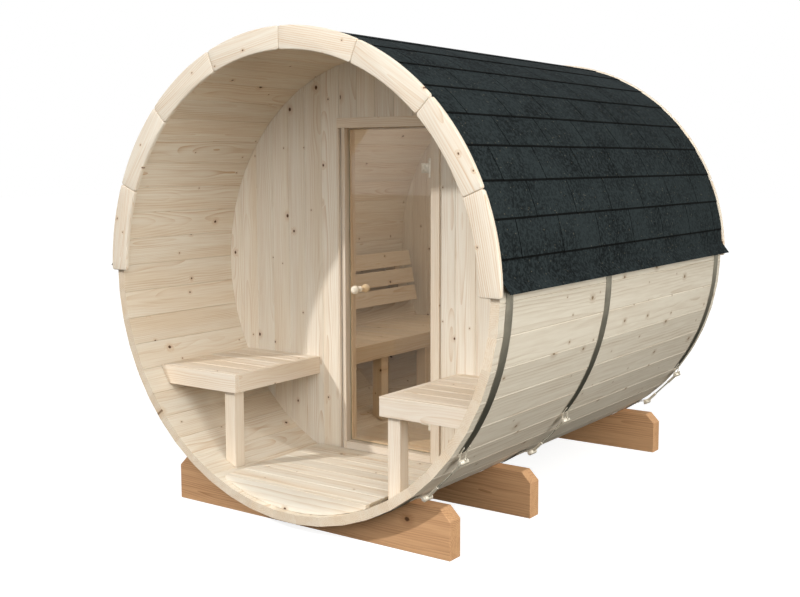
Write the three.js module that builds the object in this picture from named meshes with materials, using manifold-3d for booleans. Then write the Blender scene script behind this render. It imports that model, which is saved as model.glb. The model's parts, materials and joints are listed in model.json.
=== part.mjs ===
// A barrel sauna with an open porch: a lying barrel of wooden staves on three cradles, a boarded
// partition with a framed glass door, benches in the porch and in the cabin, a shingled upper half,
// arched end trims and three steel bands with their tensioners.
// Millimetres, +Z up, +X across, +Y from the porch to the back. The origin lies on the ground,
// under the middle of the barrel.
import * as THREE from "three";
import { mergeVertices } from "three/addons/utils/BufferGeometryUtils.js";
import Module from "manifold-3d";

const wasm = await Module();
wasm.setup();

// ---------------------------------------------------------------- driving dimensions

// Barrel. Lengths along Y are counted from the front end of the staves.
const barrelRadius = 1000; // axis to the outer edges of the staves
const barrelLength = 2260;
const staveThickness = 38;
const staveCount = 50;
const stavesPerSegment = 5;
const firstSeamTurn = THREE.MathUtils.degToRad(-1.1); // first stave joint, from the right-hand side
const outerChamfer = 3; // V joint between staves, outside
const innerChamfer = 1.5; // the same, inside
const seatGap = 0.3; // left between pieces that touch
const sunk = 1; // how far joined pieces reach into each other
const overcut = 1; // how far a cutting solid reaches past what it cuts

// Cradles
const cradleBed = 46; // timber under the lowest stave
const cradleWidth = 1462;
const cradleThickness = 75;
const cradleEndHeight = 200;
const cradleChamfer = 45;
const cradleEndInset = 100; // from either end of the barrel
const middleCradleFront = 738;

// Boarded walls
const wallBoardWidth = 103.3;
const wallBoardGroove = 4;
const leftWallJoint = -367; // one board joint left of the doorway, across from the barrel's middle
const rightWallJoint = 374; // the same, right of it
const partitionFront = 695;
const partitionThickness = 42;
const rearWallInset = 20;
const rearWallThickness = 42;

// Floor
const floorRise = 98; // floor top above the lowest stave's inside
const floorWidth = 762;
const floorThickness = 26;
const floorFrontInset = 28;
const floorFrontBoard = 28;
const floorBoardWidth = 91.6;
const floorGroove = 3;

// Doorway and its frame
const doorwayCentre = 14; // across, from the barrel's middle
const doorwayWidth = 475;
const doorwayHeight = 1502; // above the floor
const casingWidth = 46;
const casingProud = 10; // in front of the partition boards
const frameDepth = 70;
const jambThickness = 32;
const stopWidth = 10;
const thresholdHeight = 34;

// Glass door
const glassThickness = 8;
const glassSetBack = 27; // from the front of the casing
const doorClearance = 5; // round the glass
const stopClearance = 6; // from the glass back to the stops
const glassCornerRadius = 6;
const upperHingeDrop = 178; // from the top of the glass
const lowerHingeRise = 150; // from the bottom of the glass
const hingeAxisInset = 13; // from the jamb to the hinge pin
const hingeAxisLead = 10; // from the glass forward to the hinge pin
const knuckleRadius = 7.5;
const pinRadius = 2.5;
const clampHeight = 44;
const clampReach = 50; // over the glass, from the hinge pin
const clampFrontPlate = 6;
const clampBackPlate = 4;
const clampBackInset = 9; // the back plate's edge, from the hinge pin
const leafHeight = 85;
const leafThickness = 2.2;
const leafMargin = 2; // from the leaf's edges to the casing's front and to the glass
const hingeEndPlay = 0.5;
const bladeHeight = 18; // of the clamp's web in its notch in the glass
const knobRadius = 20;
const knobReach = 38; // from the glass to the ball's middle
const knobEdgeDistance = 60;
const knobRise = 760; // above the floor
const knobNeckRadius = 8;
const knobFootRadius = 14;
const knobFootThickness = 5;
const knobFootFlare = 2; // from the foot to the neck
const spindleRadius = 5;

// Benches
const benchHeight = 424; // above the floor
const aisleWidth = 778;
const benchBoard = 26;
const fasciaHeight = 82;
const porchBenchInset = 110; // from the front end of the barrel
const slatWidth = 100;
const slatGroove = 5;
const legSize = 60;
const legInset = 22; // porch leg behind the front of its bench
const cabinLegInset = 496; // cabin legs from either end of their bench
const backrestHeight = 90; // of one board
const backrestGap = 14;
const backrestCount = 3;
const backrestTilt = THREE.MathUtils.degToRad(12);
const backrestSetIn = 102; // lower front edge from the barrel's wall
const backrestRise = 106; // above the bench
const backrestEndGap = 68;
const battenWidth = 45;
const battenInset = 90; // from either end of the boards

// End trims
const trimWidth = 94;
const trimThickness = 20;
const trimOverhang = 16; // outside the barrel
const trimCount = 8; // boards round one half circle
const trimCornerRadius = 13;
const trimKerf = 1.2;
const trimKerfDepth = 3;

// Shingled roof
const roofStandOff = 4; // over the staves, clear of the bands
const shingleThickness = 4;
const shingleLip = 3; // thickness gained at each course's lower edge
const courses = 11;
const courseSteps = 3; // flats that stand for a course's curve
const firstCourseTurn = THREE.MathUtils.degToRad(7.5);
const dripTurn = THREE.MathUtils.degToRad(3.2); // where the drip edge leaves the barrel's curve
const dripOverhang = 45; // drip edge outside the barrel
const dripRise = 17; // drip edge above the axis
const dripThickness = 7;

// Steel bands
const bandWidth = 50;
const bandThickness = 3;
const endBandInset = 68; // from either end of the barrel to the band's middle
const middleBandPlace = 905;
const lugTurns = [-38, -51].map(THREE.MathUtils.degToRad); // where the band's two ends lie
const lugStandOff = 27; // tensioner's rod outside the barrel
const trunnionRadius = 9;
const trunnionLength = 58;
const rodRadius = 5;
const rodEnd = 26; // rod past a trunnion's middle
const sleeveRadius = 8;
const sleeveLength = 52;
const sleevePlay = 1; // between a sleeve and the sides of the band's slot
const bandEndTurn = THREE.MathUtils.degToRad(2.4); // from a trunnion back to the band on the staves

// ---------------------------------------------------------------- sizes that follow

const pitch = (2 * Math.PI) / staveCount;
const axisHeight = barrelRadius * Math.cos(pitch / 2) + cradleBed;
const innerRadius = barrelRadius - staveThickness;
const floorTop = floorRise - innerRadius;
const benchTop = floorTop + benchHeight;
const benchEdge = aisleWidth / 2;
const partitionBack = partitionFront + partitionThickness;
const rearWallBack = barrelLength - rearWallInset;
const rearWallFront = rearWallBack - rearWallThickness;
const casingFront = partitionFront - casingProud;
const frameBack = casingFront + frameDepth;
const doorwayLeft = doorwayCentre - doorwayWidth / 2;
const doorwayRight = doorwayCentre + doorwayWidth / 2;
const doorwayTop = floorTop + doorwayHeight;
const thresholdTop = floorTop + thresholdHeight;
const glassFront = casingFront + glassSetBack;
const glassBack = glassFront + glassThickness;
const stopFront = glassBack + stopClearance;
const glassLeft = doorwayLeft + doorClearance;
const glassRight = doorwayRight - doorClearance;
const glassBottom = thresholdTop + doorClearance;
const glassTop = doorwayTop - doorClearance;
const trimOuter = barrelRadius + trimOverhang;
const trimInner = trimOuter - trimWidth;
const dripReach = barrelRadius + dripOverhang;
const lugRadius = barrelRadius + lugStandOff;
const hingeX = doorwayRight - hingeAxisInset;
const hingeY = glassFront - hingeAxisLead;
const hingeHeights = { upper: glassTop - upperHingeDrop, lower: glassBottom + lowerHingeRise };

// ---------------------------------------------------------------- materials

function finish(color, roughness, metalness = 0) {
  return new THREE.MeshStandardMaterial({ color, roughness, metalness });
}

const spruce = finish(0xe6d5b8, 0.7);
const trimWood = finish(0xf0e4cf, 0.7);
const innerWood = finish(0xd2b791, 0.75);
const cradleWood = finish(0xc4946a, 0.8);
const shingle = finish(0x2b3132, 0.95);
const steel = finish(0x4c4f50, 0.45, 0.9);
const zinc = finish(0xd5d4cc, 0.4, 0.8);
const bronzeGlass = finish(0x8a6f55, 0.05);
bronzeGlass.transparent = true;
bronzeGlass.opacity = 0.45;

// ---------------------------------------------------------------- solids

function toSolid(geometry) {
  const bare = geometry.index ? geometry.toNonIndexed() : geometry.clone();
  bare.deleteAttribute("normal");
  bare.deleteAttribute("uv");
  const merged = mergeVertices(bare, 1e-4);
  return new wasm.Manifold(
    new wasm.Mesh({
      numProp: 3,
      vertProperties: merged.attributes.position.array,
      triVerts: new Uint32Array(merged.index.array),
    }),
  );
}

function toGeometry(solid) {
  const mesh = solid.getMesh();
  const geometry = new THREE.BufferGeometry();
  geometry.setAttribute("position", new THREE.BufferAttribute(mesh.vertProperties, 3));
  geometry.setIndex(new THREE.BufferAttribute(mesh.triVerts, 1));
  geometry.computeVertexNormals();
  return geometry;
}

function join(...pieces) {
  return toGeometry(pieces.map(toSolid).reduce((whole, piece) => whole.add(piece)));
}

function cut(body, ...tools) {
  return toGeometry(tools.map(toSolid).reduce((rest, tool) => rest.subtract(tool), toSolid(body)));
}

function overlapOf(body, envelope) {
  return toGeometry(toSolid(body).intersect(toSolid(envelope)));
}

function shapeOf(points) {
  return new THREE.Shape(points.map(([x, y]) => new THREE.Vector2(x, y)));
}

// A prism along Y over an outline in X and Z.
function alongY(shape, from, to) {
  const geometry = new THREE.ExtrudeGeometry(shape, { depth: to - from, bevelEnabled: false });
  return geometry.rotateX(Math.PI / 2).translate(0, to, 0);
}

// A prism along X over an outline in Y and Z.
function alongX(shape, from, to) {
  const geometry = new THREE.ExtrudeGeometry(shape, { depth: to - from, bevelEnabled: false });
  const turn = new THREE.Matrix4().makeBasis(
    new THREE.Vector3(0, 1, 0),
    new THREE.Vector3(0, 0, 1),
    new THREE.Vector3(1, 0, 0),
  );
  return geometry.applyMatrix4(turn).translate(from, 0, 0);
}

// A prism along Z over an outline in X and Y.
function alongZ(shape, from, to) {
  const geometry = new THREE.ExtrudeGeometry(shape, { depth: to - from, bevelEnabled: false });
  return geometry.translate(0, 0, from);
}

function block([x0, x1], [y0, y1], [z0, z1]) {
  const box = new THREE.BoxGeometry(Math.abs(x1 - x0), Math.abs(y1 - y0), Math.abs(z1 - z0));
  return box.translate((x0 + x1) / 2, (y0 + y1) / 2, (z0 + z1) / 2);
}

// A round bar from one point to another.
function bar(from, to, radius, sides = 16) {
  const way = new THREE.Vector3().subVectors(to, from);
  const turn = new THREE.Quaternion().setFromUnitVectors(
    new THREE.Vector3(0, 1, 0),
    way.clone().normalize(),
  );
  const middle = new THREE.Vector3().addVectors(from, to).multiplyScalar(0.5);
  return new THREE.CylinderGeometry(radius, radius, way.length(), sides)
    .applyQuaternion(turn)
    .translate(middle.x, middle.y, middle.z);
}

function polar(radius, turn) {
  return [radius * Math.cos(turn), radius * Math.sin(turn)];
}

function arc(radius, from, to, steps) {
  return Array.from({ length: steps + 1 }, (_, i) => polar(radius, from + ((to - from) * i) / steps));
}

// ---------------------------------------------------------------- the barrel's polygon

function seamTurn(k) {
  return firstSeamTurn + k * pitch;
}

// Corner radius of the stave polygon, with its flats moved outward by offset.
function cornerRadius(offset) {
  return barrelRadius + offset / Math.cos(pitch / 2);
}

function staveCorner(k, offset) {
  return polar(cornerRadius(offset), seamTurn(k));
}

function stavePolygon(offset) {
  return Array.from({ length: staveCount }, (_, k) => staveCorner(k, offset));
}

// The room inside the staves, less the gap that touching pieces keep.
function roomInside(from, to) {
  return alongY(shapeOf(stavePolygon(-staveThickness - seatGap)), from, to);
}

// One face of a stave from corner k to k + 1, drawn in by its chamfers at both ends.
function staveFace(k, offset, chamfer) {
  const [ax, az] = staveCorner(k, offset);
  const [bx, bz] = staveCorner(k + 1, offset);
  const length = Math.hypot(bx - ax, bz - az);
  const share = chamfer / length;
  return [
    [ax + (bx - ax) * share, az + (bz - az) * share],
    [bx - (bx - ax) * share, bz - (bz - az) * share],
  ];
}

// Staves first to last - 1 in one piece, with V joints outside and inside.
function wallSegment(first, last) {
  const outline = [];
  const sideTurn = seatGap / 2 / barrelRadius;
  const seamPoint = (k, offset, shift) => polar(cornerRadius(offset), seamTurn(k) + shift);
  const shiftAt = (k) => (k === first ? sideTurn : k === last ? -sideTurn : 0);
  for (let k = first; k < last; k += 1) {
    outline.push(seamPoint(k, -outerChamfer, shiftAt(k)));
    outline.push(...staveFace(k, 0, outerChamfer));
  }
  outline.push(seamPoint(last, -outerChamfer, shiftAt(last)));
  for (let k = last; k > first; k -= 1) {
    outline.push(seamPoint(k, innerChamfer - staveThickness, shiftAt(k)));
    outline.push(...staveFace(k - 1, -staveThickness, innerChamfer).reverse());
  }
  outline.push(seamPoint(first, innerChamfer - staveThickness, shiftAt(first)));
  return alongY(shapeOf(outline), 0, barrelLength);
}

// ---------------------------------------------------------------- boards

// Joints between boards of one width, on a grid through the joint that is given.
function gridSeams(from, to, width, joint) {
  const seams = [];
  for (let n = Math.ceil((from - joint) / width); joint + n * width < to; n += 1) {
    seams.push(joint + n * width);
  }
  return seams.filter((at) => at - from > wallBoardGroove && to - at > wallBoardGroove);
}

// Outline of boards laid side by side from..to, low..high thick, with V joints on the named faces.
function boardOutline(from, to, low, high, seams, groove, faces) {
  const notch = (x, y, depth) => [
    [x - groove / 2, y],
    [x, y + depth],
    [x + groove / 2, y],
  ];
  const outline = [[from, low]];
  if (faces.includes("low")) seams.forEach((x) => outline.push(...notch(x, low, groove / 2)));
  outline.push([to, low], [to, high]);
  if (faces.includes("high")) {
    [...seams].reverse().forEach((x) => outline.push(...notch(x, high, -groove / 2).reverse()));
  }
  outline.push([from, high]);
  return shapeOf(outline);
}

// A wall of upright boards inside the barrel.
function boardedWall([from, to], [bottom, top], joint, front, thickness) {
  const seams = gridSeams(from, to, wallBoardWidth, joint);
  const outline = boardOutline(
    from, to, front, front + thickness, seams, wallBoardGroove, ["low", "high"],
  );
  const room = roomInside(front - overcut, front + thickness + overcut);
  return overlapOf(alongZ(outline, bottom, top), room);
}

// ---------------------------------------------------------------- scene graph

const sauna = new THREE.Group();
const barrel = new THREE.Group();
barrel.position.set(0, -barrelLength / 2, axisHeight);
sauna.add(barrel);

function place(parent, name, geometry, material, position = [0, 0, 0]) {
  const mesh = new THREE.Mesh(geometry, material);
  mesh.name = name;
  mesh.position.set(...position);
  parent.add(mesh);
  return mesh;
}

const sides = { left: -1, right: 1 };

// Cradles: a seat cut to the staves, ends chamfered on top.
function cradle() {
  const half = cradleWidth / 2;
  const bottom = -axisHeight;
  const top = bottom + cradleEndHeight;
  const outline = [
    [-half, bottom],
    [half, bottom],
    [half, top - cradleChamfer],
    [half - cradleChamfer, top],
    [cradleChamfer - half, top],
    [-half, top - cradleChamfer],
  ];
  const seat = alongY(shapeOf(stavePolygon(seatGap)), -overcut, cradleThickness + overcut);
  return cut(alongY(shapeOf(outline), 0, cradleThickness), seat);
}

const cradlePlaces = {
  front: cradleEndInset,
  middle: middleCradleFront,
  rear: barrelLength - cradleEndInset - cradleThickness,
};
for (const [where, y] of Object.entries(cradlePlaces)) {
  place(barrel, `cradle_${where}`, cradle(), cradleWood, [0, y, 0]);
}

// Barrel wall in segments of a few staves each.
for (let first = 0, n = 1; first < staveCount; first += stavesPerSegment, n += 1) {
  const last = Math.min(first + stavesPerSegment, staveCount);
  const name = `barrel_wall_${String(n).padStart(2, "0")}`;
  place(barrel, name, wallSegment(first, last), spruce);
}

// Partition: boards left and right of the door frame, over it and under its threshold.
const jambOutside = { left: doorwayLeft - jambThickness, right: doorwayRight + jambThickness };
const wallEdge = barrelRadius;
const headTop = doorwayTop + jambThickness;
const partitionParts = {
  left: [[-wallEdge, jambOutside.left - seatGap], [-wallEdge, wallEdge], leftWallJoint],
  right: [[jambOutside.right + seatGap, wallEdge], [-wallEdge, wallEdge], rightWallJoint],
  over_door: [[jambOutside.left, jambOutside.right], [headTop + seatGap, wallEdge], leftWallJoint],
  under_door: [[jambOutside.left, jambOutside.right], [-wallEdge, floorTop - seatGap], leftWallJoint],
};
for (const [part, [across, upright, joint]] of Object.entries(partitionParts)) {
  const boards = boardedWall(across, upright, joint, partitionFront, partitionThickness);
  place(barrel, `partition_${part}`, boards, spruce);
}

const whole = [-wallEdge, wallEdge];
const rearBoards = boardedWall(whole, whole, leftWallJoint, rearWallFront, rearWallThickness);
place(barrel, "rear_wall", rearBoards, spruce);

// Door frame: each jamb is a board with a casing lip in front and a stop behind the glass.
function jamb(side) {
  const inner = side < 0 ? doorwayLeft : doorwayRight;
  const outline = [
    [0, casingFront],
    [casingWidth, casingFront],
    [casingWidth, partitionFront - seatGap],
    [jambThickness, partitionFront - seatGap],
    [jambThickness, frameBack],
    [-stopWidth, frameBack],
    [-stopWidth, stopFront],
    [0, stopFront],
  ].map(([outward, y]) => [inner + side * outward, y]);
  return alongZ(shapeOf(outline), floorTop + seatGap, doorwayTop - seatGap);
}

// The head has the same section, laid across both jambs.
function head() {
  const outline = [
    [casingFront, 0],
    [casingFront, casingWidth],
    [partitionFront - seatGap, casingWidth],
    [partitionFront - seatGap, jambThickness],
    [frameBack, jambThickness],
    [frameBack, 0],
  ].map(([y, up]) => [y, doorwayTop + up]);
  const reach = jambThickness;
  const board = alongX(shapeOf(outline), doorwayLeft - reach, doorwayRight + reach);
  const lip = block(
    [doorwayLeft - casingWidth, doorwayRight + casingWidth],
    [casingFront, partitionFront - seatGap],
    [doorwayTop, doorwayTop + casingWidth],
  );
  const stop = block(
    [doorwayLeft + seatGap, doorwayRight - seatGap],
    [stopFront, frameBack],
    [doorwayTop - stopWidth, doorwayTop + jambThickness / 2],
  );
  const stopEnds = Object.values(sides).map((side) => {
    const inner = side < 0 ? doorwayLeft : doorwayRight;
    const edge = inner - side * (stopWidth + seatGap);
    return block(
      [inner, edge],
      [stopFront - overcut, frameBack + overcut],
      [doorwayTop - stopWidth - overcut, doorwayTop],
    );
  });
  return join(board, lip, cut(stop, ...stopEnds));
}

function threshold() {
  const sill = block(
    [doorwayLeft + seatGap, doorwayRight - seatGap],
    [casingFront, stopFront],
    [floorTop + seatGap, thresholdTop],
  );
  const stop = block(
    [doorwayLeft + stopWidth + seatGap, doorwayRight - stopWidth - seatGap],
    [stopFront - sunk, frameBack],
    [floorTop + seatGap, thresholdTop + stopWidth],
  );
  return join(sill, stop);
}

for (const [side, sign] of Object.entries(sides)) {
  place(barrel, `door_jamb_${side}`, jamb(sign), spruce);
}
place(barrel, "door_head", head(), spruce);
place(barrel, "door_threshold", threshold(), spruce);

// ---------------------------------------------------------------- door leaf

// The leaf hangs on its own group, whose origin is on the hinge axis at the bottom of the glass.
const doorLeaf = new THREE.Group();
doorLeaf.position.set(hingeX, hingeY, glassBottom);
barrel.add(doorLeaf);

const glassHeight = glassTop - glassBottom;
const leafGlassFront = hingeAxisLead;
const leafGlassBack = hingeAxisLead + glassThickness;
const knobX = glassLeft + knobEdgeDistance - hingeX;
const knobZ = floorTop + knobRise - glassBottom;
const clampHeights = Object.fromEntries(
  Object.entries(hingeHeights).map(([which, z]) => [which, z - glassBottom]),
);

function doorGlass() {
  const [x0, x1] = [glassLeft - hingeX, glassRight - hingeX];
  const r = glassCornerRadius;
  const pane = new THREE.Shape();
  pane.moveTo(x0 + r, 0);
  pane.lineTo(x1 - r, 0);
  pane.absarc(x1 - r, r, r, -Math.PI / 2, 0);
  pane.lineTo(x1, glassHeight - r);
  pane.absarc(x1 - r, glassHeight - r, r, 0, Math.PI / 2);
  pane.lineTo(x0 + r, glassHeight);
  pane.absarc(x0 + r, glassHeight - r, r, Math.PI / 2, Math.PI);
  pane.lineTo(x0, r);
  pane.absarc(x0 + r, r, r, Math.PI, 1.5 * Math.PI);
  const spindleHole = new THREE.Path();
  spindleHole.absarc(knobX, knobZ, spindleRadius + seatGap, 0, 2 * Math.PI);
  pane.holes.push(spindleHole);
  const geometry = new THREE.ExtrudeGeometry(pane, {
    depth: glassThickness,
    bevelEnabled: false,
    curveSegments: 6,
  });
  geometry.rotateX(Math.PI / 2).translate(0, leafGlassBack, 0);
  const notches = Object.values(clampHeights).map((z) =>
    block(
      [-clampReach / 2 - seatGap, x1 + overcut],
      [leafGlassFront - overcut, leafGlassBack + overcut],
      [z - bladeHeight / 2 - seatGap, z + bladeHeight / 2 + seatGap],
    ),
  );
  return cut(geometry, ...notches);
}

// A clamp grips the glass between two plates, joined by a web in the notch, and turns on the pin.
function hingeClamp() {
  const reach = clampHeight / 2 - hingeEndPlay;
  const frontPlate = block(
    [-clampReach, 0],
    [leafGlassFront - seatGap - clampFrontPlate, leafGlassFront - seatGap],
    [-reach, reach],
  );
  const backPlate = block(
    [-clampReach, -clampBackInset],
    [leafGlassBack + seatGap, leafGlassBack + seatGap + clampBackPlate],
    [-reach, reach],
  );
  const web = block(
    [-clampReach / 2, -clampBackInset],
    [leafGlassFront - clampFrontPlate / 2, leafGlassBack + clampBackPlate / 2],
    [-bladeHeight / 2, bladeHeight / 2],
  );
  const knuckle = bar(
    new THREE.Vector3(0, 0, -reach),
    new THREE.Vector3(0, 0, reach),
    knuckleRadius,
  );
  const bore = bar(
    new THREE.Vector3(0, 0, -clampHeight),
    new THREE.Vector3(0, 0, clampHeight),
    pinRadius + seatGap,
  );
  return cut(join(frontPlate, backPlate, web, knuckle), bore);
}

// The fixed leaf lies on the jamb's face; its knuckles carry the pin over and under the clamp.
function hingeLeaf() {
  const jambFace = doorwayRight - hingeX - seatGap;
  const halfHeight = leafHeight / 2;
  const plate = block(
    [jambFace - leafThickness, jambFace],
    [casingFront - hingeY + leafMargin, leafGlassFront - leafMargin],
    [-halfHeight, halfHeight],
  );
  const ends = [-1, 1].flatMap((end) => {
    const [near, far] = [(end * clampHeight) / 2, end * halfHeight];
    return [
      bar(new THREE.Vector3(0, 0, near), new THREE.Vector3(0, 0, far), knuckleRadius),
      block([0, jambFace - leafThickness / 2], [-knuckleRadius / 2, knuckleRadius / 2], [near, far]),
    ];
  });
  const pin = bar(
    new THREE.Vector3(0, 0, -halfHeight),
    new THREE.Vector3(0, 0, halfHeight),
    pinRadius,
  );
  return join(plate, ...ends, pin);
}

// Turned wooden knobs on both faces of the glass, on one spindle.
function knob() {
  const ballStart = Math.acos(knobNeckRadius / knobRadius);
  const profile = [[0, -knobReach - knobRadius]];
  const steps = 7;
  for (let i = 1; i <= steps; i += 1) {
    const turn = -Math.PI / 2 + ((ballStart + Math.PI / 2) * i) / steps;
    profile.push([knobRadius * Math.cos(turn), -knobReach + knobRadius * Math.sin(turn)]);
  }
  profile.push([knobNeckRadius, -knobFootThickness - knobFootFlare]);
  profile.push([knobFootRadius, -knobFootThickness]);
  profile.push([knobFootRadius, -seatGap]);
  profile.push([spindleRadius, -seatGap]);
  const other = profile.map(([r, y]) => [r, glassThickness - y]).reverse();
  const points = [...profile, ...other].map(([r, y]) => new THREE.Vector2(r, y));
  return new THREE.LatheGeometry(points, 20);
}

place(doorLeaf, "door_glass", doorGlass(), bronzeGlass);
place(doorLeaf, "door_knob", knob(), trimWood, [knobX, leafGlassFront, knobZ]);
for (const [which, z] of Object.entries(clampHeights)) {
  place(doorLeaf, `hinge_clamp_${which}`, hingeClamp(), zinc, [0, 0, z]);
  place(barrel, `hinge_leaf_${which}`, hingeLeaf(), zinc, [hingeX, hingeY, glassBottom + z]);
}

// ---------------------------------------------------------------- floors

function floorPanel(from, to) {
  const seams = gridSeams(from, to, floorBoardWidth, from);
  const outline = boardOutline(
    from, to, floorTop - floorThickness, floorTop, seams, floorGroove, ["high"],
  );
  const room = roomInside(from - overcut, to + overcut);
  return overlapOf(alongX(outline, -floorWidth / 2, floorWidth / 2), room);
}

const porchFloorFront = floorFrontInset + floorFrontBoard;
const frontBoard = overlapOf(
  block([-floorWidth / 2, floorWidth / 2], [floorFrontInset, porchFloorFront], [-barrelRadius, floorTop]),
  roomInside(0, porchFloorFront + overcut),
);
place(barrel, "porch_floor_front", frontBoard, spruce);
place(barrel, "porch_floor", floorPanel(porchFloorFront + seatGap, casingFront - seatGap), spruce);
place(barrel, "cabin_floor", floorPanel(frameBack + seatGap, rearWallFront - seatGap), innerWood);

// ---------------------------------------------------------------- benches

// A bench against the barrel's wall from y0 to y1: cross slats in a frame of edge boards, on legs.
function bench(side, y0, y1, frontFascia, legPlaces) {
  const edge = side * benchEdge;
  const wall = side * barrelRadius;
  const firstJoint = frontFascia ? y0 + benchBoard : y0;
  const joints = gridSeams(y0, y1, slatWidth, firstJoint);
  const slatOutline = boardOutline(
    y0, y1, benchTop - benchBoard, benchTop, joints, slatGroove, ["high"],
  );
  const slats = alongX(slatOutline, Math.min(edge, wall), Math.max(edge, wall));
  const low = benchTop - fasciaHeight;
  const apron = block([edge, edge + side * benchBoard], [y0, y1], [low, benchTop]);
  const rails = [y1 - benchBoard, ...(frontFascia ? [] : [y0])].map((y) =>
    block([edge, wall], [y, y + benchBoard], [low + benchBoard / 2, benchTop - benchBoard / 2]),
  );
  if (frontFascia) rails.push(block([edge, wall], [y0, y0 + benchBoard], [low, benchTop]));
  const legs = legPlaces.map((y) =>
    block(
      [edge + side * (benchBoard - sunk), edge + side * (benchBoard + legSize)],
      [y, y + legSize],
      [-barrelRadius, benchTop - sunk],
    ),
  );
  return overlapOf(join(slats, apron, ...rails, ...legs), roomInside(y0 - overcut, y1 + overcut));
}

const cabinFront = partitionBack + seatGap;
const cabinBack = rearWallFront - seatGap;
const cabinLegs = [cabinFront + cabinLegInset, cabinBack - cabinLegInset - legSize];

// Three long boards on two battens, leaning back along the barrel's wall.
function backrest(side) {
  const y0 = cabinFront + backrestEndGap;
  const y1 = cabinBack - backrestEndGap;
  const lowZ = benchTop + backrestRise;
  const lowX = Math.sqrt(innerRadius ** 2 - lowZ ** 2) - backrestSetIn;
  const up = [Math.sin(backrestTilt), Math.cos(backrestTilt)];
  const outward = [Math.cos(backrestTilt), -Math.sin(backrestTilt)];
  const at = (rise, depth) => [
    side * (lowX + up[0] * rise + outward[0] * depth),
    lowZ + up[1] * rise + outward[1] * depth,
  ];
  const slab = (rise0, rise1, depth0, depth1, from, to) =>
    alongY(
      shapeOf([at(rise0, depth0), at(rise1, depth0), at(rise1, depth1), at(rise0, depth1)]),
      from, to,
    );
  const step = backrestHeight + backrestGap;
  const height = backrestCount * step - backrestGap;
  const boards = Array.from({ length: backrestCount }, (_, i) =>
    slab(i * step, i * step + backrestHeight, 0, benchBoard, y0, y1),
  );
  const battens = [y0 + battenInset, y1 - battenInset - battenWidth].map((y) =>
    slab(backrestGap, height - backrestGap, benchBoard - sunk, 2 * backrestSetIn, y, y + battenWidth),
  );
  return overlapOf(join(...boards, ...battens), roomInside(y0 - overcut, y1 + overcut));
}

for (const [side, sign] of Object.entries(sides)) {
  const porchLeg = [porchBenchInset + legInset];
  const porchBench = bench(sign, porchBenchInset, partitionFront - seatGap, true, porchLeg);
  place(barrel, `porch_bench_${side}`, porchBench, spruce);
  const cabinBench = bench(sign, cabinFront, cabinBack, false, cabinLegs);
  place(barrel, `cabin_bench_${side}`, cabinBench, innerWood);
  place(barrel, `backrest_${side}`, backrest(sign), innerWood);
}

// ---------------------------------------------------------------- end trims

// One arched board between two turns, with its four corners rounded.
function trimBoardOutline(from, to) {
  const bend = trimCornerRadius;
  const sagitta = 1 - Math.SQRT1_2; // middle of a quarter circle, from either side, for radius 1
  const rounded = (radius, turn, inward, sign) => {
    const back = sign * (bend / radius);
    return [
      polar(radius, turn - back),
      polar(radius - inward * bend * sagitta, turn - back * sagitta),
      polar(radius - inward * bend, turn),
    ];
  };
  return [
    ...rounded(trimOuter, from, 1, -1).reverse(),
    ...arc(trimOuter, from + (2 * bend) / trimOuter, to - (2 * bend) / trimOuter, 6),
    ...rounded(trimOuter, to, 1, 1),
    ...rounded(trimInner, to, -1, 1).reverse(),
    ...arc(trimInner, to - (2 * bend) / trimInner, from + (2 * bend) / trimInner, 6),
    ...rounded(trimInner, from, -1, -1),
  ];
}

// Half of an end's trim: its boards butt against each other, with a fine joint in the face.
function trimHalf(first, last, back, face) {
  const step = Math.PI / trimCount;
  const boards = [];
  for (let n = first; n < last; n += 1) {
    boards.push(alongY(shapeOf(trimBoardOutline(n * step, (n + 1) * step)), back, back + trimThickness));
  }
  const joints = [];
  for (let n = first + 1; n < last; n += 1) {
    const kerf = block(
      [trimInner - overcut, trimOuter + overcut],
      [face - trimKerfDepth, face + trimKerfDepth],
      [-trimKerf / 2, trimKerf / 2],
    );
    joints.push(kerf.rotateY(-n * step));
  }
  return cut(join(...boards), ...joints);
}

const half = trimCount / 2;
const trimEnds = {
  front: { back: -trimThickness - seatGap, face: -trimThickness - seatGap },
  rear: { back: barrelLength + seatGap, face: barrelLength + seatGap + trimThickness },
};
for (const [end, { back, face }] of Object.entries(trimEnds)) {
  place(barrel, `trim_${end}_right`, trimHalf(0, half, back, face), trimWood);
  const leftTurn = seatGap / trimOuter;
  const leftHalf = trimHalf(half, trimCount, back, face).rotateY(-leftTurn);
  place(barrel, `trim_${end}_left`, leftHalf, trimWood);
}

// ---------------------------------------------------------------- roof

// One half of the shingled shell: courses that step out at their lower edges, and the drip edge.
function roofHalf(side) {
  const under = cornerRadius(0) + roofStandOff;
  const thick = under + shingleThickness + shingleLip;
  const crown = Math.PI / 2 - seatGap / thick;
  const courseTurn = (Math.PI / 2 - firstCourseTurn) / (courses - 1);
  const outline = [];
  let low = dripTurn;
  for (let n = 0; n < courses; n += 1) {
    const high = Math.min(firstCourseTurn + n * courseTurn, crown);
    for (let i = 0; i <= courseSteps; i += 1) {
      const share = i / courseSteps;
      outline.push(polar(thick - shingleLip * share, low + (high - low) * share));
    }
    low = high;
  }
  outline.push(...arc(under, crown, dripTurn, 2 * courses));
  const slope = Math.atan2(under * Math.sin(dripTurn) - dripRise, dripReach - under);
  const dripUnder = [Math.sin(slope) * -dripThickness, Math.cos(slope) * -dripThickness];
  outline.push([dripReach + dripUnder[0], dripRise + dripUnder[1]]);
  outline.push([dripReach, dripRise]);
  const mirrored = outline.map(([x, z]) => [side * x, z]);
  return alongY(shapeOf(mirrored), 0, barrelLength);
}

for (const [side, sign] of Object.entries(sides)) {
  place(barrel, `roof_${side}`, roofHalf(sign), shingle);
}

// ---------------------------------------------------------------- bands and tensioners

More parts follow.
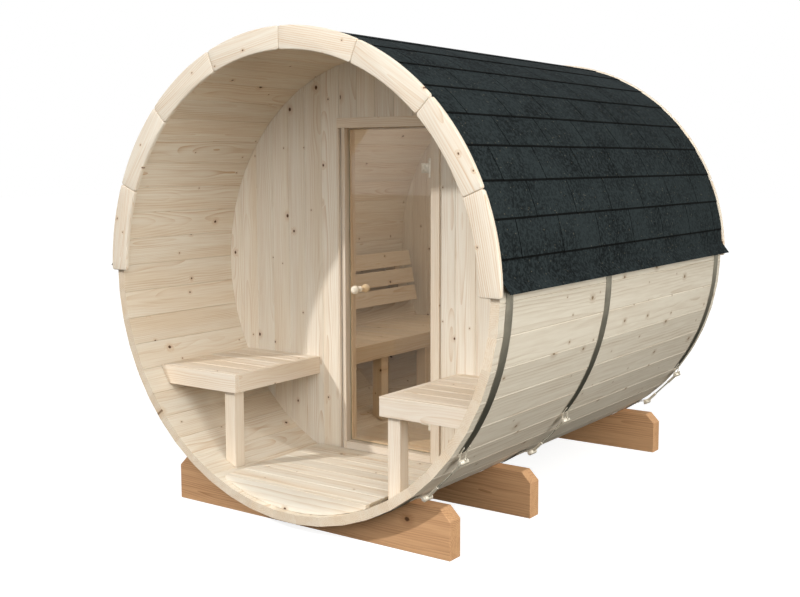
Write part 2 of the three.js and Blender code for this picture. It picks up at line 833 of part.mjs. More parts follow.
const loopRadius = trunnionRadius + seatGap + bandThickness;

function across(radius, turn, y) {
  const [x, z] = polar(radius, turn);
  return new THREE.Vector3(x, y, z);
}

// A steel strap round the staves, its two ends turned up into loops for the tensioner.
function band() {
  const [upper, lower] = lugTurns;
  const from = upper + bandEndTurn;
  const to = lower - bandEndTurn + 2 * Math.PI;
  const turns = [from];
  for (let k = -staveCount; k < staveCount; k += 1) {
    const turn = seamTurn(k);
    if (turn > from && turn < to) turns.push(turn);
  }
  turns.push(to);
  const radiusAt = (turn, offset) => {
    const within = THREE.MathUtils.euclideanModulo(turn - firstSeamTurn, pitch) - pitch / 2;
    return (cornerRadius(offset) * Math.cos(pitch / 2)) / Math.cos(within);
  };
  const outside = turns.map((turn) => polar(radiusAt(turn, seatGap + bandThickness), turn));
  const inside = turns.map((turn) => polar(radiusAt(turn, seatGap), turn)).reverse();
  const strap = alongY(shapeOf([...outside, ...inside]), 0, bandWidth);
  const loops = lugTurns.flatMap((turn, i) => {
    const strapEnd = i === 0 ? from : to;
    const inner = lugRadius - loopRadius;
    const link = alongY(
      shapeOf([
        polar(radiusAt(strapEnd, seatGap), strapEnd),
        polar(radiusAt(strapEnd, seatGap + bandThickness), strapEnd),
        polar(inner + bandThickness, turn),
        polar(inner, turn),
      ]),
      0, bandWidth,
    );
    const tube = bar(across(lugRadius, turn, 0), across(lugRadius, turn, bandWidth), loopRadius, 20);
    return [link, tube];
  });
  const bores = lugTurns.map((turn) =>
    bar(
      across(lugRadius, turn, -overcut),
      across(lugRadius, turn, bandWidth + overcut),
      trunnionRadius + seatGap,
      20,
    ),
  );
  const slotWidth = 2 * (sleeveRadius + sleevePlay);
  const [a, b] = lugTurns.map((turn) => across(lugRadius, turn, 0));
  const way = new THREE.Vector3().subVectors(b, a);
  const slot = new THREE.BoxGeometry(way.length() + 2 * rodEnd, slotWidth, slotWidth);
  slot.rotateY(-Math.atan2(way.z, way.x));
  slot.translate((a.x + b.x) / 2, bandWidth / 2, (a.z + b.z) / 2);
  return cut(join(strap, ...loops), ...bores, slot);
}

// Two trunnions on a threaded rod, each with a sleeve nut on the inner side.
function tensioner() {
  const y = bandWidth / 2;
  const [a, b] = lugTurns.map((turn) => across(lugRadius, turn, y));
  const way = new THREE.Vector3().subVectors(b, a).normalize();
  const trunnions = lugTurns.map((turn) =>
    bar(
      across(lugRadius, turn, y - trunnionLength / 2),
      across(lugRadius, turn, y + trunnionLength / 2),
      trunnionRadius,
    ),
  );
  const rod = bar(
    a.clone().addScaledVector(way, -rodEnd),
    b.clone().addScaledVector(way, rodEnd),
    rodRadius,
    12,
  );
  const sleeves = [
    bar(a, a.clone().addScaledVector(way, sleeveLength), sleeveRadius, 6),
    bar(b, b.clone().addScaledVector(way, -sleeveLength), sleeveRadius, 6),
  ];
  return join(rod, ...trunnions, ...sleeves);
}

const bandPlaces = {
  front: endBandInset,
  middle: middleBandPlace,
  rear: barrelLength - endBandInset,
};
for (const [where, middle] of Object.entries(bandPlaces)) {
  const at = [0, middle - bandWidth / 2, 0];
  place(barrel, `band_${where}`, band(), steel, at);
  place(barrel, `tensioner_${where}`, tensioner(), zinc, at);
}

export default sauna;
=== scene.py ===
import functools
import json
import math
import random

import bmesh
import bpy
from mathutils import Matrix, Vector


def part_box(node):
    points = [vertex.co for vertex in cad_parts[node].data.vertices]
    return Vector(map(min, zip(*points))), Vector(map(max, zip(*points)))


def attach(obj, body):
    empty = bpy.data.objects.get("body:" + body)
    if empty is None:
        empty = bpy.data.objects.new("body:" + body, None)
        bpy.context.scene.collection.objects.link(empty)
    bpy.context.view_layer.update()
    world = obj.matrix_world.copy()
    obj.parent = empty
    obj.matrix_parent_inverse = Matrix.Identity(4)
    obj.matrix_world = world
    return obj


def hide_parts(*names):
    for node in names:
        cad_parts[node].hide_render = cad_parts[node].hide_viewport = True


bl_info = {
    "name": "Barrel sauna",
    "version": (1, 0, 0),
    "blender": (4, 5, 0),
    "location": "View3D > Sidebar > Sauna",
    "description": "Dresses the packed barrel sauna with staves, boards, shingles, straps and glass",
    "category": "Object",
}

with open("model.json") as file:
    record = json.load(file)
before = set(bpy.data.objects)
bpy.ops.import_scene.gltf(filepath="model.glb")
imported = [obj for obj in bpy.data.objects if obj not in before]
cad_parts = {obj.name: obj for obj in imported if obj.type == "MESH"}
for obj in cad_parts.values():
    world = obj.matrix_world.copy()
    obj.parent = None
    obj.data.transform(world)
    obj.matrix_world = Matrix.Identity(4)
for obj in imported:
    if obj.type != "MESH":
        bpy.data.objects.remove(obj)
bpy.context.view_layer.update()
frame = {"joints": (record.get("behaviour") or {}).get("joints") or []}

MM = 0.001
X, Y, Z = Vector((1, 0, 0)), Vector((0, 1, 0)), Vector((0, 0, 1))
WELD = 0.02 * MM  # points nearer than this are made one
PLAY = 0.3 * MM  # left between pieces that rest on each other
HALF_JOINT = 0.15 * MM  # half of what is left between boards


# ---------------------------------------------------------------- places read from the frame


def low(node):
    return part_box(node)[0]


def high(node):
    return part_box(node)[1]


def limits(node, axis):
    """The least and the most of a node along an axis."""
    return low(node)[axis], high(node)[axis]


def middle(node, axis):
    return sum(limits(node, axis)) / 2


HINGE = Vector(next(j for j in frame["joints"] if j["name"] == "door_hinge")["pos_m"])
AXIS_Z = middle("rear_wall", 2)

# The barrel: fifty staves, five to a node, whose outside corners lie on a circle.
WALLS = [f"barrel_wall_{n:02d}" for n in range(1, 11)]
STAVES = 50
PITCH = math.tau / STAVES
FIRST_SEAM = math.radians(-1.1)
FRONT_Y, REAR_Y = limits(WALLS[0], 1)
OUTER = max(high(wall).x for wall in WALLS) / math.cos(FIRST_SEAM)
STAVE_THICK = 38 * MM
OUTER_FLAT = OUTER * math.cos(PITCH / 2)
INNER_FLAT = OUTER_FLAT - STAVE_THICK
ROOM = INNER_FLAT - 0.4 * MM  # to the flats, less what is left for a board scribed to them
ROOM_CORNER = ROOM / math.cos(PITCH / 2)
KNOT_SHIFT = 26 * MM  # moves the staves' grain along, to keep large knots off the front rim

# The boarded walls and floors.
PARTITION = limits("partition_left", 1)
REAR_WALL = limits("rear_wall", 1)
BELOW, ABOVE = AXIS_Z - 1, AXIS_Z + 1  # past the barrel's inside, where a wall has no limit of its own
LEFT_JOINT, RIGHT_JOINT = -367 * MM, 374 * MM  # a joint of the wall boards on each side of the door
STEEP_FROM = 0.66  # of the way out: from here, upright boards are cut sideways too
FLOOR_TOP = high("cabin_floor").z
FLOOR_THICK = FLOOR_TOP - low("cabin_floor").z

BENCH_TOP = high("porch_bench_left").z
BENCH_EDGE = low("porch_bench_right").x
LEG_INSET = 26 * MM  # from a bench's edge to its legs
PORCH_LEG_IN, CABIN_LEG_IN = 22 * MM, 496 * MM  # from a bench's ends to its legs

CASING = 46 * MM
DOORWAY = (low("door_jamb_left").x + CASING, high("door_jamb_right").x - CASING)
DOORWAY_TOP = high("door_jamb_left").z
GLASS_LOW, GLASS_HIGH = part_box("door_glass")

SLIVER = 8 * MM  # the shortest piece of a shingle tab that is laid
FELT = 2.8 * MM


# ---------------------------------------------------------------- nodes and materials


def srgb(text):
    """Linear RGBA of an sRGB hex value."""
    parts = [int(text[i : i + 2], 16) / 255 for i in (1, 3, 5)]
    return tuple(c / 12.92 if c <= 0.04045 else ((c + 0.055) / 1.055) ** 2.4 for c in parts) + (1.0,)


def add(tree, kind, *values, **named):
    """A node. A first word is its operation or type, and other values fill its inputs in their order.

    Capitalised names are inputs too, and the others are settings. A node lends its first output.
    """
    kinds = (family + kind for family in ("ShaderNode", "GeometryNode", "FunctionNode", ""))
    node = tree.nodes.new(next(k for k in kinds if hasattr(bpy.types, k)))
    if values and isinstance(values[0], str):
        mode = next(m for m in ("operation", "data_type", "input_type", "mode") if hasattr(node, m))
        setattr(node, mode, values[0])
        values = values[1:]
    for name in filter(str.islower, named):
        setattr(node, name, named[name])
    filled = list(zip([socket for socket in node.inputs if socket.enabled], values))
    filled += [(node.inputs[n.replace("_", " ")], value) for n, value in named.items() if not n.islower()]
    for socket, value in filled:
        if isinstance(value, bpy.types.Node):
            value = next(output for output in value.outputs if output.enabled)
        if isinstance(value, bpy.types.NodeSocket):
            tree.links.new(value, socket)
        else:
            socket.default_value = value
    return node


def blank(name):
    """A new material with an empty tree."""
    material = bpy.data.materials.new(name)
    material.use_nodes = True
    material.node_tree.nodes.clear()
    return material, material.node_tree


def cloudy(t, place, scale, low, high, detail=1.0, roughness=0.5):
    """Noise, at one scale or at one along each axis, that rises from 0 to 1 between two of its levels."""
    if isinstance(scale, tuple):
        place, scale = add(t, "VectorMath", "MULTIPLY", place, scale), 1.0
    noise = add(t, "TexNoise", place, Scale=scale, Detail=detail, Roughness=roughness)
    return add(t, "MapRange", noise, low, high)


def facing(t, axis, start, end, share=1.0):
    """How far faces turn along an axis: 0 at the start value of their normal, and a share at the end."""
    normal = add(t, "SeparateXYZ", add(t, "NewGeometry").outputs["Normal"])
    return add(t, "MapRange", normal.outputs[axis], start, end, To_Max=share)


def softwood(name, pale, dark, blush, knot, ring=8 * MM, contrast=0.8, knots=0.7, largest=12 * MM,
             cell=(0.13, 0.36, 1), uneven=0.05, fibres=150, roughness=0.62, stain=None):
    """Planed spruce or pine: growth rings cut by the board's face, fine fibres and dark pin knots.

    Real rings are 2 to 3 mm apart; they are drawn wider here, so that they show from a few metres.
    A stain (axis, start, end, share) darkens the faces that turn that way; on the staves it is their darker
    end grain, on the weathered outside it is painted shade on faces that turn down.
    """
    material, t = blank(name)
    grain = add(t, "Attribute", attribute_name="grain").outputs["Vector"]
    tone = add(t, "Attribute", attribute_name="tone").outputs["Fac"]
    # Every board reads the noise at its own place, so no two boards match.
    apart = add(t, "VectorMath", "SCALE", (13.7, 71.3, 5.1), tone)
    own = add(t, "VectorMath", "ADD", grain, apart)

    # Knots: one chance in each cell of the board's face, and few of them large.
    cells = add(t, "VectorMath", "DIVIDE", own, cell)
    spots = add(t, "TexVoronoi", cells, Scale=1.0, voronoi_dimensions="2D").outputs
    off = add(t, "VectorMath", "SUBTRACT", cells, spots["Position"])
    # A knot is a quarter longer along the grain than across it.
    off = add(t, "VectorMath", "MULTIPLY", off, (cell[0], cell[1] * 0.8, 0))
    ragged = add(t, "TexNoise", own, Scale=260.0, Detail=1.0)
    ragged = add(t, "MapRange", ragged, To_Min=-1.4 * MM, To_Max=1.4 * MM)
    reach = add(t, "Math", "ADD", add(t, "VectorMath", "LENGTH", off), ragged)
    size_chance, knot_chance, _ = add(t, "SeparateColor", spots["Color"]).outputs
    size = add(t, "Math", "POWER", size_chance, 2.6)
    size = add(t, "MapRange", size, To_Min=3 * MM, To_Max=largest)
    shown = add(t, "Math", "LESS_THAN", knot_chance, knots)
    wide = add(t, "Math", "MULTIPLY", size, 3.2)
    core = add(t, "Math", "MULTIPLY", size, 0.5)
    heart = add(t, "MapRange", reach, size, core, interpolation_type="SMOOTHSTEP")
    heart = add(t, "Math", "MULTIPLY", heart, shown)
    halo = add(t, "MapRange", reach, wide, size, interpolation_type="SMOOTHSTEP")
    halo = add(t, "Math", "MULTIPLY", halo, shown)

    # Rings: cylinders about a pith beside the board, which wanders along the trunk and round knots.
    slow = add(t, "VectorMath", "MULTIPLY", own, (3.4, 1.3, 3.4))
    wander = add(t, "TexNoise", slow, Scale=1.0, Detail=2.0, Roughness=0.55).outputs["Color"]
    wander = add(t, "VectorMath", "MULTIPLY_ADD", wander, (0.035, 0, 0.075), grain)
    side = add(t, "MapRange", tone, To_Min=-0.06, To_Max=0.06)
    depth = add(t, "Math", "FRACT", add(t, "Math", "MULTIPLY", tone, 7.3))
    depth = add(t, "MapRange", depth, To_Min=0.02, To_Max=0.13)
    pith = add(t, "CombineXYZ", side, 0.0, depth)
    radial = add(t, "VectorMath", "SUBTRACT", wander, pith)
    radial = add(t, "VectorMath", "MULTIPLY", radial, (1, 0, 1))
    radius = add(t, "Math", "MULTIPLY_ADD", halo, 10 * MM, add(t, "VectorMath", "LENGTH", radial))
    ramp = add(t, "Math", "FRACT", add(t, "Math", "DIVIDE", radius, ring))
    # Some rings are strong and some hardly show.
    strong = cloudy(t, own, (24, 1.2, 24), 0.35, 0.7)
    late = add(t, "Math", "MULTIPLY", add(t, "Math", "POWER", ramp, 3.0), strong)

    # Fibres, drawn 5 to 10 mm wide and a few hundred long, since real ones are too fine to show.
    streak = cloudy(t, own, (fibres, 4, fibres), 0.38, 0.68, 2.0, 0.65)
    mixed = add(t, "Math", "MULTIPLY_ADD", streak, 0.32, late)
    mixed = add(t, "Math", "MULTIPLY", mixed, contrast)

    # Heartwood blush in broad bands, then rings, halo and knot.
    broad = add(t, "Math", "MULTIPLY", cloudy(t, own, (9, 0.8, 9), 0.45, 0.75), 0.7)
    colour = add(t, "Mix", "RGBA", broad, pale, blush)
    colour = add(t, "Mix", "RGBA", mixed, colour, dark)
    colour = add(t, "Mix", "RGBA", add(t, "Math", "MULTIPLY", halo, 0.4), colour, dark)
    colour = add(t, "Mix", "RGBA", heart, colour, knot)
    # Darker towards the stain's way: real end grain on the staves, painted shade on the outside's downward
    # faces.
    if stain:
        colour = add(t, "Mix", "RGBA", facing(t, *stain), colour, dark)
    value = add(t, "MapRange", tone, To_Min=0.99 - uneven, To_Max=0.99 + uneven)
    colour = add(t, "HueSaturation", Color=colour, Value=value)

    height = add(t, "Math", "ADD", mixed, heart)
    bump = add(t, "Bump", Height=height, Strength=0.35, Distance=0.4 * MM, invert=True)
    rough = add(t, "MapRange", streak, To_Min=roughness - 0.06, To_Max=roughness + 0.08)
    add(t, "OutputMaterial", add(
        t, "BsdfPrincipled", colour, Roughness=rough, Normal=bump, Specular_IOR_Level=0.25,
    ))
    return material


def shingle_felt(name, dark, light, speck):
    """Bitumen shingle with crushed slate pressed in: near black, matt, no two tabs quite alike.

    Real granules are 1 to 2 mm; they are drawn about 4 mm wide, so that they show.
    """
    material, t = blank(name)
    place = add(t, "TexCoord").outputs["Object"]
    tone = add(t, "Attribute", attribute_name="tone").outputs["Fac"]
    grit = add(t, "TexVoronoi", place, Scale=1 / (4.2 * MM)).outputs
    shade, chance, _ = add(t, "SeparateColor", grit["Color"]).outputs
    clumps = cloudy(t, place, 1 / (14 * MM), 0.46, 0.6, 2.0, 0.7)
    patch = cloudy(t, place, 4.0, 0.4, 0.6, 4.0, 0.65)
    blend = add(t, "Math", "MULTIPLY_ADD", tone, 0.5, patch)
    blend = add(t, "Math", "MULTIPLY", blend, 0.4)
    blend = add(t, "Math", "MULTIPLY_ADD", clumps, 0.7, blend)
    blend = add(t, "Math", "MULTIPLY_ADD", shade, 0.4, blend)
    colour = add(t, "Mix", "RGBA", blend, dark, light)
    rare = add(t, "Math", "GREATER_THAN", chance, 0.996)
    colour = add(t, "Mix", "RGBA", add(t, "Math", "MULTIPLY", rare, 0.3), colour, speck)
    bump = add(t, "Bump", Height=grit["Distance"], Strength=0.5, Distance=1.2 * MM)
    add(t, "OutputMaterial", add(
        t, "BsdfPrincipled", colour, Roughness=0.95, Normal=bump, Specular_IOR_Level=0.05,
    ))
    return material


def plated_steel(name, colour, stain, under, metal, roughness, cloud):
    """Rolled or plated steel: metal with faint clouding, and a little duller where it is clouded.

    Faces that look down turn to the colour in under: a painted reflection of a dark ground and painted
    shade.
    """
    material, t = blank(name)
    place = add(t, "TexCoord").outputs["Object"]
    clouds = add(t, "TexNoise", place, Scale=1 / cloud, Detail=4.0)
    share = add(t, "MapRange", clouds, 0.4, 0.7)
    shade = add(t, "Mix", "RGBA", share, colour, stain)
    # Painted reflection and shade: faces that turn down are mixed towards the colour in under.
    shade = add(t, "Mix", "RGBA", facing(t, 2, 0.05, -0.42), shade, under)
    rough = add(t, "MapRange", share, To_Min=roughness, To_Max=roughness + 0.12)
    bump = add(t, "Bump", Height=clouds, Strength=0.08, Distance=0.3 * MM)
    add(t, "OutputMaterial", add(t, "BsdfPrincipled", shade, Metallic=metal, Roughness=rough, Normal=bump))
    return material


def bronze_glass(name, tint):
    """Toughened float glass with a bronze body tint: clear, glossy, and lamps reach what is behind it."""
    material, t = blank(name)
    path = add(t, "LightPath").outputs
    pane = add(t, "BsdfPrincipled", tint, Roughness=0.01, IOR=1.5, Transmission_Weight=1.0)
    clear = add(t, "BsdfTransparent", tint)
    rays = add(t, "Math", "MAXIMUM", path["Is Shadow Ray"], path["Is Diffuse Ray"])
    add(t, "OutputMaterial", add(t, "MixShader", rays, pane, clear))
    return material


def ground_glass(name, colour, pale):
    """The ground rim of the sheet: grey green and cloudy, with the grinder's fine streaks."""
    material, t = blank(name)
    place = add(t, "TexCoord").outputs["Object"]
    streaks = add(t, "TexNoise", place, Scale=1 / (2 * MM), Detail=2.0)
    shade = add(t, "Mix", "RGBA", streaks, colour, pale)
    add(t, "OutputMaterial", add(t, "BsdfPrincipled", shade, Roughness=0.5, IOR=1.5))
    return material


# ---------------------------------------------------------------- solids


def spread(start, end, steps):
    """Even steps from one number to another, both included."""
    return [start + (end - start) * n / steps for n in range(steps + 1)]


def disc(radius, at):
    """Half the chord of a circle at a distance from its middle."""
    return math.sqrt(max(radius * radius - at * at, 0.0))


def polar(radius, turn):
    return Vector((radius * math.cos(turn), 0, radius * math.sin(turn)))


def prism(outline, lo, hi, axis, edge=0.0, segments=2):
    """A closed bar over an outline given in its other two axes, its sharp edges eased."""
    part = bmesh.new()

    def corner(a, b, along):
        place = [a, b]
        place.insert("XYZ".index(axis), along)
        return part.verts.new(place)

    ends = [[corner(a, b, along) for a, b in outline] for along in (lo, hi)]
    for end in ends:
        part.faces.new(end)
    for i in range(len(outline)):
        j = (i + 1) % len(outline)
        part.faces.new((ends[0][i], ends[0][j], ends[1][j], ends[1][i]))
    bmesh.ops.recalc_face_normals(part, faces=part.faces)
    if edge:
        sharp = [e for e in part.edges if e.calc_face_angle(0) > math.radians(25)]
        bmesh.ops.bevel(
            part, geom=sharp, offset=edge, segments=segments, profile=0.5, affect="EDGES",
            clamp_overlap=True,
        )
    return part


def slab(x, y, z, edge=1.5 * MM):
    """A block between three pairs of limits."""
    return prism([(y[0], z[0]), (y[1], z[0]), (y[1], z[1]), (y[0], z[1])], *x, "X", edge)


def lathe(profile, origin, axis, segments=24):
    """A turned solid: (radius, distance) pairs from one end of the axis to the other."""
    part = bmesh.new()
    rings = []
    for radius, along in profile:
        turns = [math.tau * n / segments for n in range(segments if radius else 1)]
        rings.append([part.verts.new((radius * math.cos(a), radius * math.sin(a), along)) for a in turns])
    for lower, upper in zip(rings, rings[1:]):
        for n in range(segments):
            m = (n + 1) % segments
            corners = [ring[k % len(ring)] for ring, k in ((lower, n), (lower, m), (upper, m), (upper, n))]
            part.faces.new(list(dict.fromkeys(corners)))
    for ring in (rings[0], rings[-1]):
        if len(ring) > 1:
            part.faces.new(ring)
    bmesh.ops.recalc_face_normals(part, faces=part.faces)
    turn = Vector(axis).to_track_quat("Z", "Y").to_matrix().to_4x4()
    part.transform(Matrix.Translation(Vector(origin)) @ turn)
    return part


def turned_bar(radius, start, end, chamfer, end_chamfer=None):
    """The profile of a round or hexagon bar with chamfered ends."""
    last = end_chamfer or chamfer
    return [(0, start), (radius - chamfer, start), (radius, start + chamfer),
            (radius, end - last), (radius - last, end), (0, end)]


class Maker:
    """Gathers solids into one mesh. A board also keeps its own coordinates: across, along and through."""

    def __init__(self, seed=0):
        self.random = random.Random(seed)
        self.verts, self.faces, self.smooth, self.grain, self.tone = [], [], [], [], []

    def take(self, part, smooth=False, along=Y, face=Z, pith=None):
        """Adds a solid and frees it. Its own coordinates start at its middle, or where its pith is given."""
        start = len(self.verts)
        part.verts.index_update()
        places = [v.co.copy() for v in part.verts]
        pith = pith or sum(places, Vector()) / len(places)
        own = [place - pith for place in places]
        across = face.cross(along)
        self.verts += places
        self.grain += [(p.dot(across), p.dot(along), p.dot(face)) for p in own]
        self.tone += [self.random.random()] * len(places)
        self.faces += [[start + v.index for v in polygon.verts] for polygon in part.faces]
        self.smooth += [smooth] * len(part.faces)
        part.free()
        return self

    def done(self, name, material, repeated=False):
        """The mesh as an object in the scene. A repeated piece gets its tones from its tree."""
        data = bpy.data.meshes.new(name)
        data.from_pydata(self.verts, [], self.faces)
        data.polygons.foreach_set("use_smooth", self.smooth)
        layer = data.attributes.new("grain", "FLOAT_VECTOR", "POINT")
        layer.data.foreach_set("vector", [c for place in self.grain for c in place])
        if not repeated:
            layer = data.attributes.new("tone", "FLOAT", "POINT")
            layer.data.foreach_set("value", self.tone)
        data.materials.append(material)
        data.update()
        return placed(name, data)


def placed(name, data):
    """A mesh, lamp or camera as an object in the scene."""
    piece = bpy.data.objects.new(name, data)
    bpy.context.scene.collection.objects.link(piece)
    return piece


def second(piece, material, test):
    """Gives a second material to the faces that a test picks."""
    piece.data.materials.append(material)
    for face in piece.data.polygons:
        face.material_index = int(test(face))


def settle(piece, nodes=(), body="barrel", crease=None):
    """Fixes a finished piece to its body, in place of its solids. Edges past a crease angle stay sharp."""
    if crease:
        piece.data.set_sharp_from_angle(angle=math.radians(crease))
    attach(piece, body)
    if nodes:
        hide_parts(*nodes)


def merged(name, pieces):
    """Several plain meshes made into the first."""
    shape = bmesh.new()
    for piece in pieces:
        shape.from_mesh(piece.data)
    keep, *rest = pieces
    keep.name = name
    shape.to_mesh(keep.data)
    shape.free()
    for piece in rest:
        bpy.data.objects.remove(piece)
    return keep


# ---------------------------------------------------------------- Geometry Nodes trees


def new_tree(name, inputs):
    """A tree with geometry in and out and named inputs, each of the type of its default."""
    kinds = {bool: "Bool", int: "Int", float: "Float", tuple: "Vector", type(None): "Material"}
    tree = bpy.data.node_groups.new(name, "GeometryNodeTree")
    for way in ("OUTPUT", "INPUT"):
        tree.interface.new_socket("Geometry", in_out=way, socket_type="NodeSocketGeometry")
    for label, default in inputs.items():
        kind = "NodeSocket" + kinds[type(default)]
        socket = tree.interface.new_socket(label, in_out="INPUT", socket_type=kind)
        if default is not None:
            socket.default_value = default
    return tree, add(tree, "NodeGroupInput").outputs


def grow(piece, tree, **values):
    """Runs a tree on a piece and leaves the result as its plain mesh."""
    modifier = piece.modifiers.new(tree.name, "NODES")
    modifier.node_group = tree
    named = {s.name: s.identifier for s in tree.interface.items_tree if s.in_out == "INPUT"}
    for label, value in values.items():
        modifier[named[label.replace("_", " ")]] = tuple(value) if isinstance(value, Vector) else value
    graph = bpy.context.evaluated_depsgraph_get()
    data = bpy.data.meshes.new_from_object(piece.evaluated_get(graph), depsgraph=graph)
    piece.modifiers.clear()
    old, piece.data = piece.data, data
    bpy.data.meshes.remove(old)
    data.name = piece.name
    return piece


def toned(t, instances, seed):
    """Gives each instance a tone of its own, which its material reads."""
    tone = add(t, "RandomValue", "FLOAT", 0.0, 1.0, Seed=seed)
    return add(t, "StoreNamedAttribute", "FLOAT", instances, Name="tone", Value=tone, domain="INSTANCE")


@functools.cache
def row_tree():
    """Repeats one board along a line or round an axis, then scribes it to the inside of the barrel."""
    t, give = new_tree("Board Row", {
        "Count": 1, "Start": (0, 0, 0), "Step": (0, 0, 0), "First Turn": 0.0, "Turn": 0.0, "Play": 0.0,
        "Seed": 1, "Fit": 100.0, "Axis Height": 0.0, "Upright": False, "Lowest X": -100.0,
        "Highest X": 100.0, "Material": None, "Along": (0, 1, 0), "Face": (0, 0, 1),
    })
    line = add(
        t, "MeshLine", "OFFSET", Count=give["Count"], Start_Location=give["Start"], Offset=give["Step"],
    )
    angle = add(t, "Math", "MULTIPLY_ADD", add(t, "InputIndex"), give["Turn"], give["First Turn"])
    turn = add(t, "CombineXYZ", Y=add(t, "Math", "MULTIPLY", angle, -1.0))
    boards = add(t, "InstanceOnPoints", line, Instance=give["Geometry"], Rotation=turn)
    play = add(t, "RandomValue", "FLOAT", 0.0, 1.0, Seed=give["Seed"])
    shift = add(t, "CombineXYZ", add(t, "Math", "MULTIPLY", play, give["Play"]))
    boards = add(t, "TranslateInstances", boards, Translation=shift)
    solid = add(t, "RealizeInstances", toned(t, boards, give["Seed"]))
    solid = add(
        t, "StoreNamedAttribute", "FLOAT_VECTOR", solid, Name="uncut", Value=add(t, "InputPosition"),
    )

    x, y, z = add(t, "SeparateXYZ", add(t, "InputPosition")).outputs
    across = add(t, "Clamp", x, give["Lowest X"], give["Highest X"])
    height = add(t, "Math", "SUBTRACT", z, give["Axis Height"])
    corner = add(t, "Math", "DIVIDE", give["Fit"], math.cos(PITCH / 2))

    def limit(value):
        """The circle's two places beside a place on its other axis."""
        whole = add(t, "Math", "MULTIPLY", corner, corner)
        rest = add(t, "Math", "SUBTRACT", whole, add(t, "Math", "MULTIPLY", value, value))
        most = add(t, "Math", "SQRT", add(t, "Math", "MAXIMUM", rest, 0.0))
        return add(t, "Math", "MULTIPLY", most, -1.0), most

    # An upright board is cut to its height. One far out, where the wall is steep, is first cut
    # sideways, as far as its own inner edge.
    start = add(t, "SeparateXYZ", give["Start"])
    width = add(t, "SeparateXYZ", give["Step"])
    board = add(t, "Math", "DIVIDE", add(t, "Math", "SUBTRACT", x, start), width)
    left = add(t, "Math", "MULTIPLY_ADD", add(t, "Math", "FLOOR", board), width, start)
    right = add(t, "Math", "MINIMUM", add(t, "Math", "ADD", left, width), 0.0)
    left = add(t, "Math", "MAXIMUM", left, 0.0)
    least, most = limit(height)
    least = add(t, "Math", "MINIMUM", least, right)
    most = add(t, "Math", "MAXIMUM", most, left)
    trimmed = add(t, "Clamp", across, least, most)
    inner_edge = add(t, "Math", "DIVIDE", add(t, "Math", "SUBTRACT", left, right), give["Fit"])
    steep = add(t, "Math", "GREATER_THAN", inner_edge, STEEP_FROM)
    trimmed = add(t, "Mix", "FLOAT", steep, across, trimmed)
    stood = add(t, "Clamp", height, *limit(trimmed))
    stood = add(t, "CombineXYZ", trimmed, y, add(t, "Math", "ADD", stood, give["Axis Height"]))
    laid = add(t, "CombineXYZ", add(t, "Clamp", across, *limit(height)), y, z)
    fitted = add(t, "Switch", "VECTOR", give["Upright"], laid, stood)
    solid = add(t, "SetPosition", solid, Position=fitted)

    # The staves' inside is a polygon: what reaches past one of its flats is drawn in to it.
    x, y, z = add(t, "SeparateXYZ", add(t, "InputPosition")).outputs
    height = add(t, "Math", "SUBTRACT", z, give["Axis Height"])
    angle = add(t, "Math", "SUBTRACT", add(t, "Math", "ARCTAN2", height, x), FIRST_SEAM + PITCH / 2)
    angle = add(t, "Math", "WRAP", angle, PITCH / 2, -PITCH / 2)
    flat = add(t, "Math", "DIVIDE", give["Fit"], add(t, "Math", "COSINE", angle))
    spot = add(t, "CombineXYZ", x, 0.0, height)
    share = add(t, "Math", "DIVIDE", flat, add(t, "VectorMath", "LENGTH", spot))
    drawn = add(t, "VectorMath", "SCALE", spot, add(t, "Math", "MINIMUM", share, 1.0))
    level = add(t, "CombineXYZ", 0.0, y, give["Axis Height"])
    solid = add(t, "SetPosition", solid, Position=add(t, "VectorMath", "ADD", drawn, level))

    # The cut moved points, and their place in the board's own grain moves with them.
    before = add(t, "InputNamedAttribute", "FLOAT_VECTOR", Name="uncut")
    moved = add(t, "VectorMath", "SUBTRACT", add(t, "InputPosition"), before)
    side = add(t, "VectorMath", "CROSS_PRODUCT", give["Face"], give["Along"])
    parts = [add(t, "VectorMath", "DOT_PRODUCT", moved, way) for way in (side, give["Along"], give["Face"])]
    grain = add(t, "InputNamedAttribute", "FLOAT_VECTOR", Name="grain")
    grain = add(t, "VectorMath", "ADD", grain, add(t, "CombineXYZ", *parts))
    solid = add(t, "StoreNamedAttribute", "FLOAT_VECTOR", solid, Name="grain", Value=grain)
    solid = add(t, "RemoveAttribute", solid, Name="uncut")
    solid = add(t, "RealizeInstances", add(t, "MergeByDistance", solid, Distance=WELD))
    add(t, "NodeGroupOutput", add(t, "SetMaterial", solid, Material=give["Material"]))
    return t


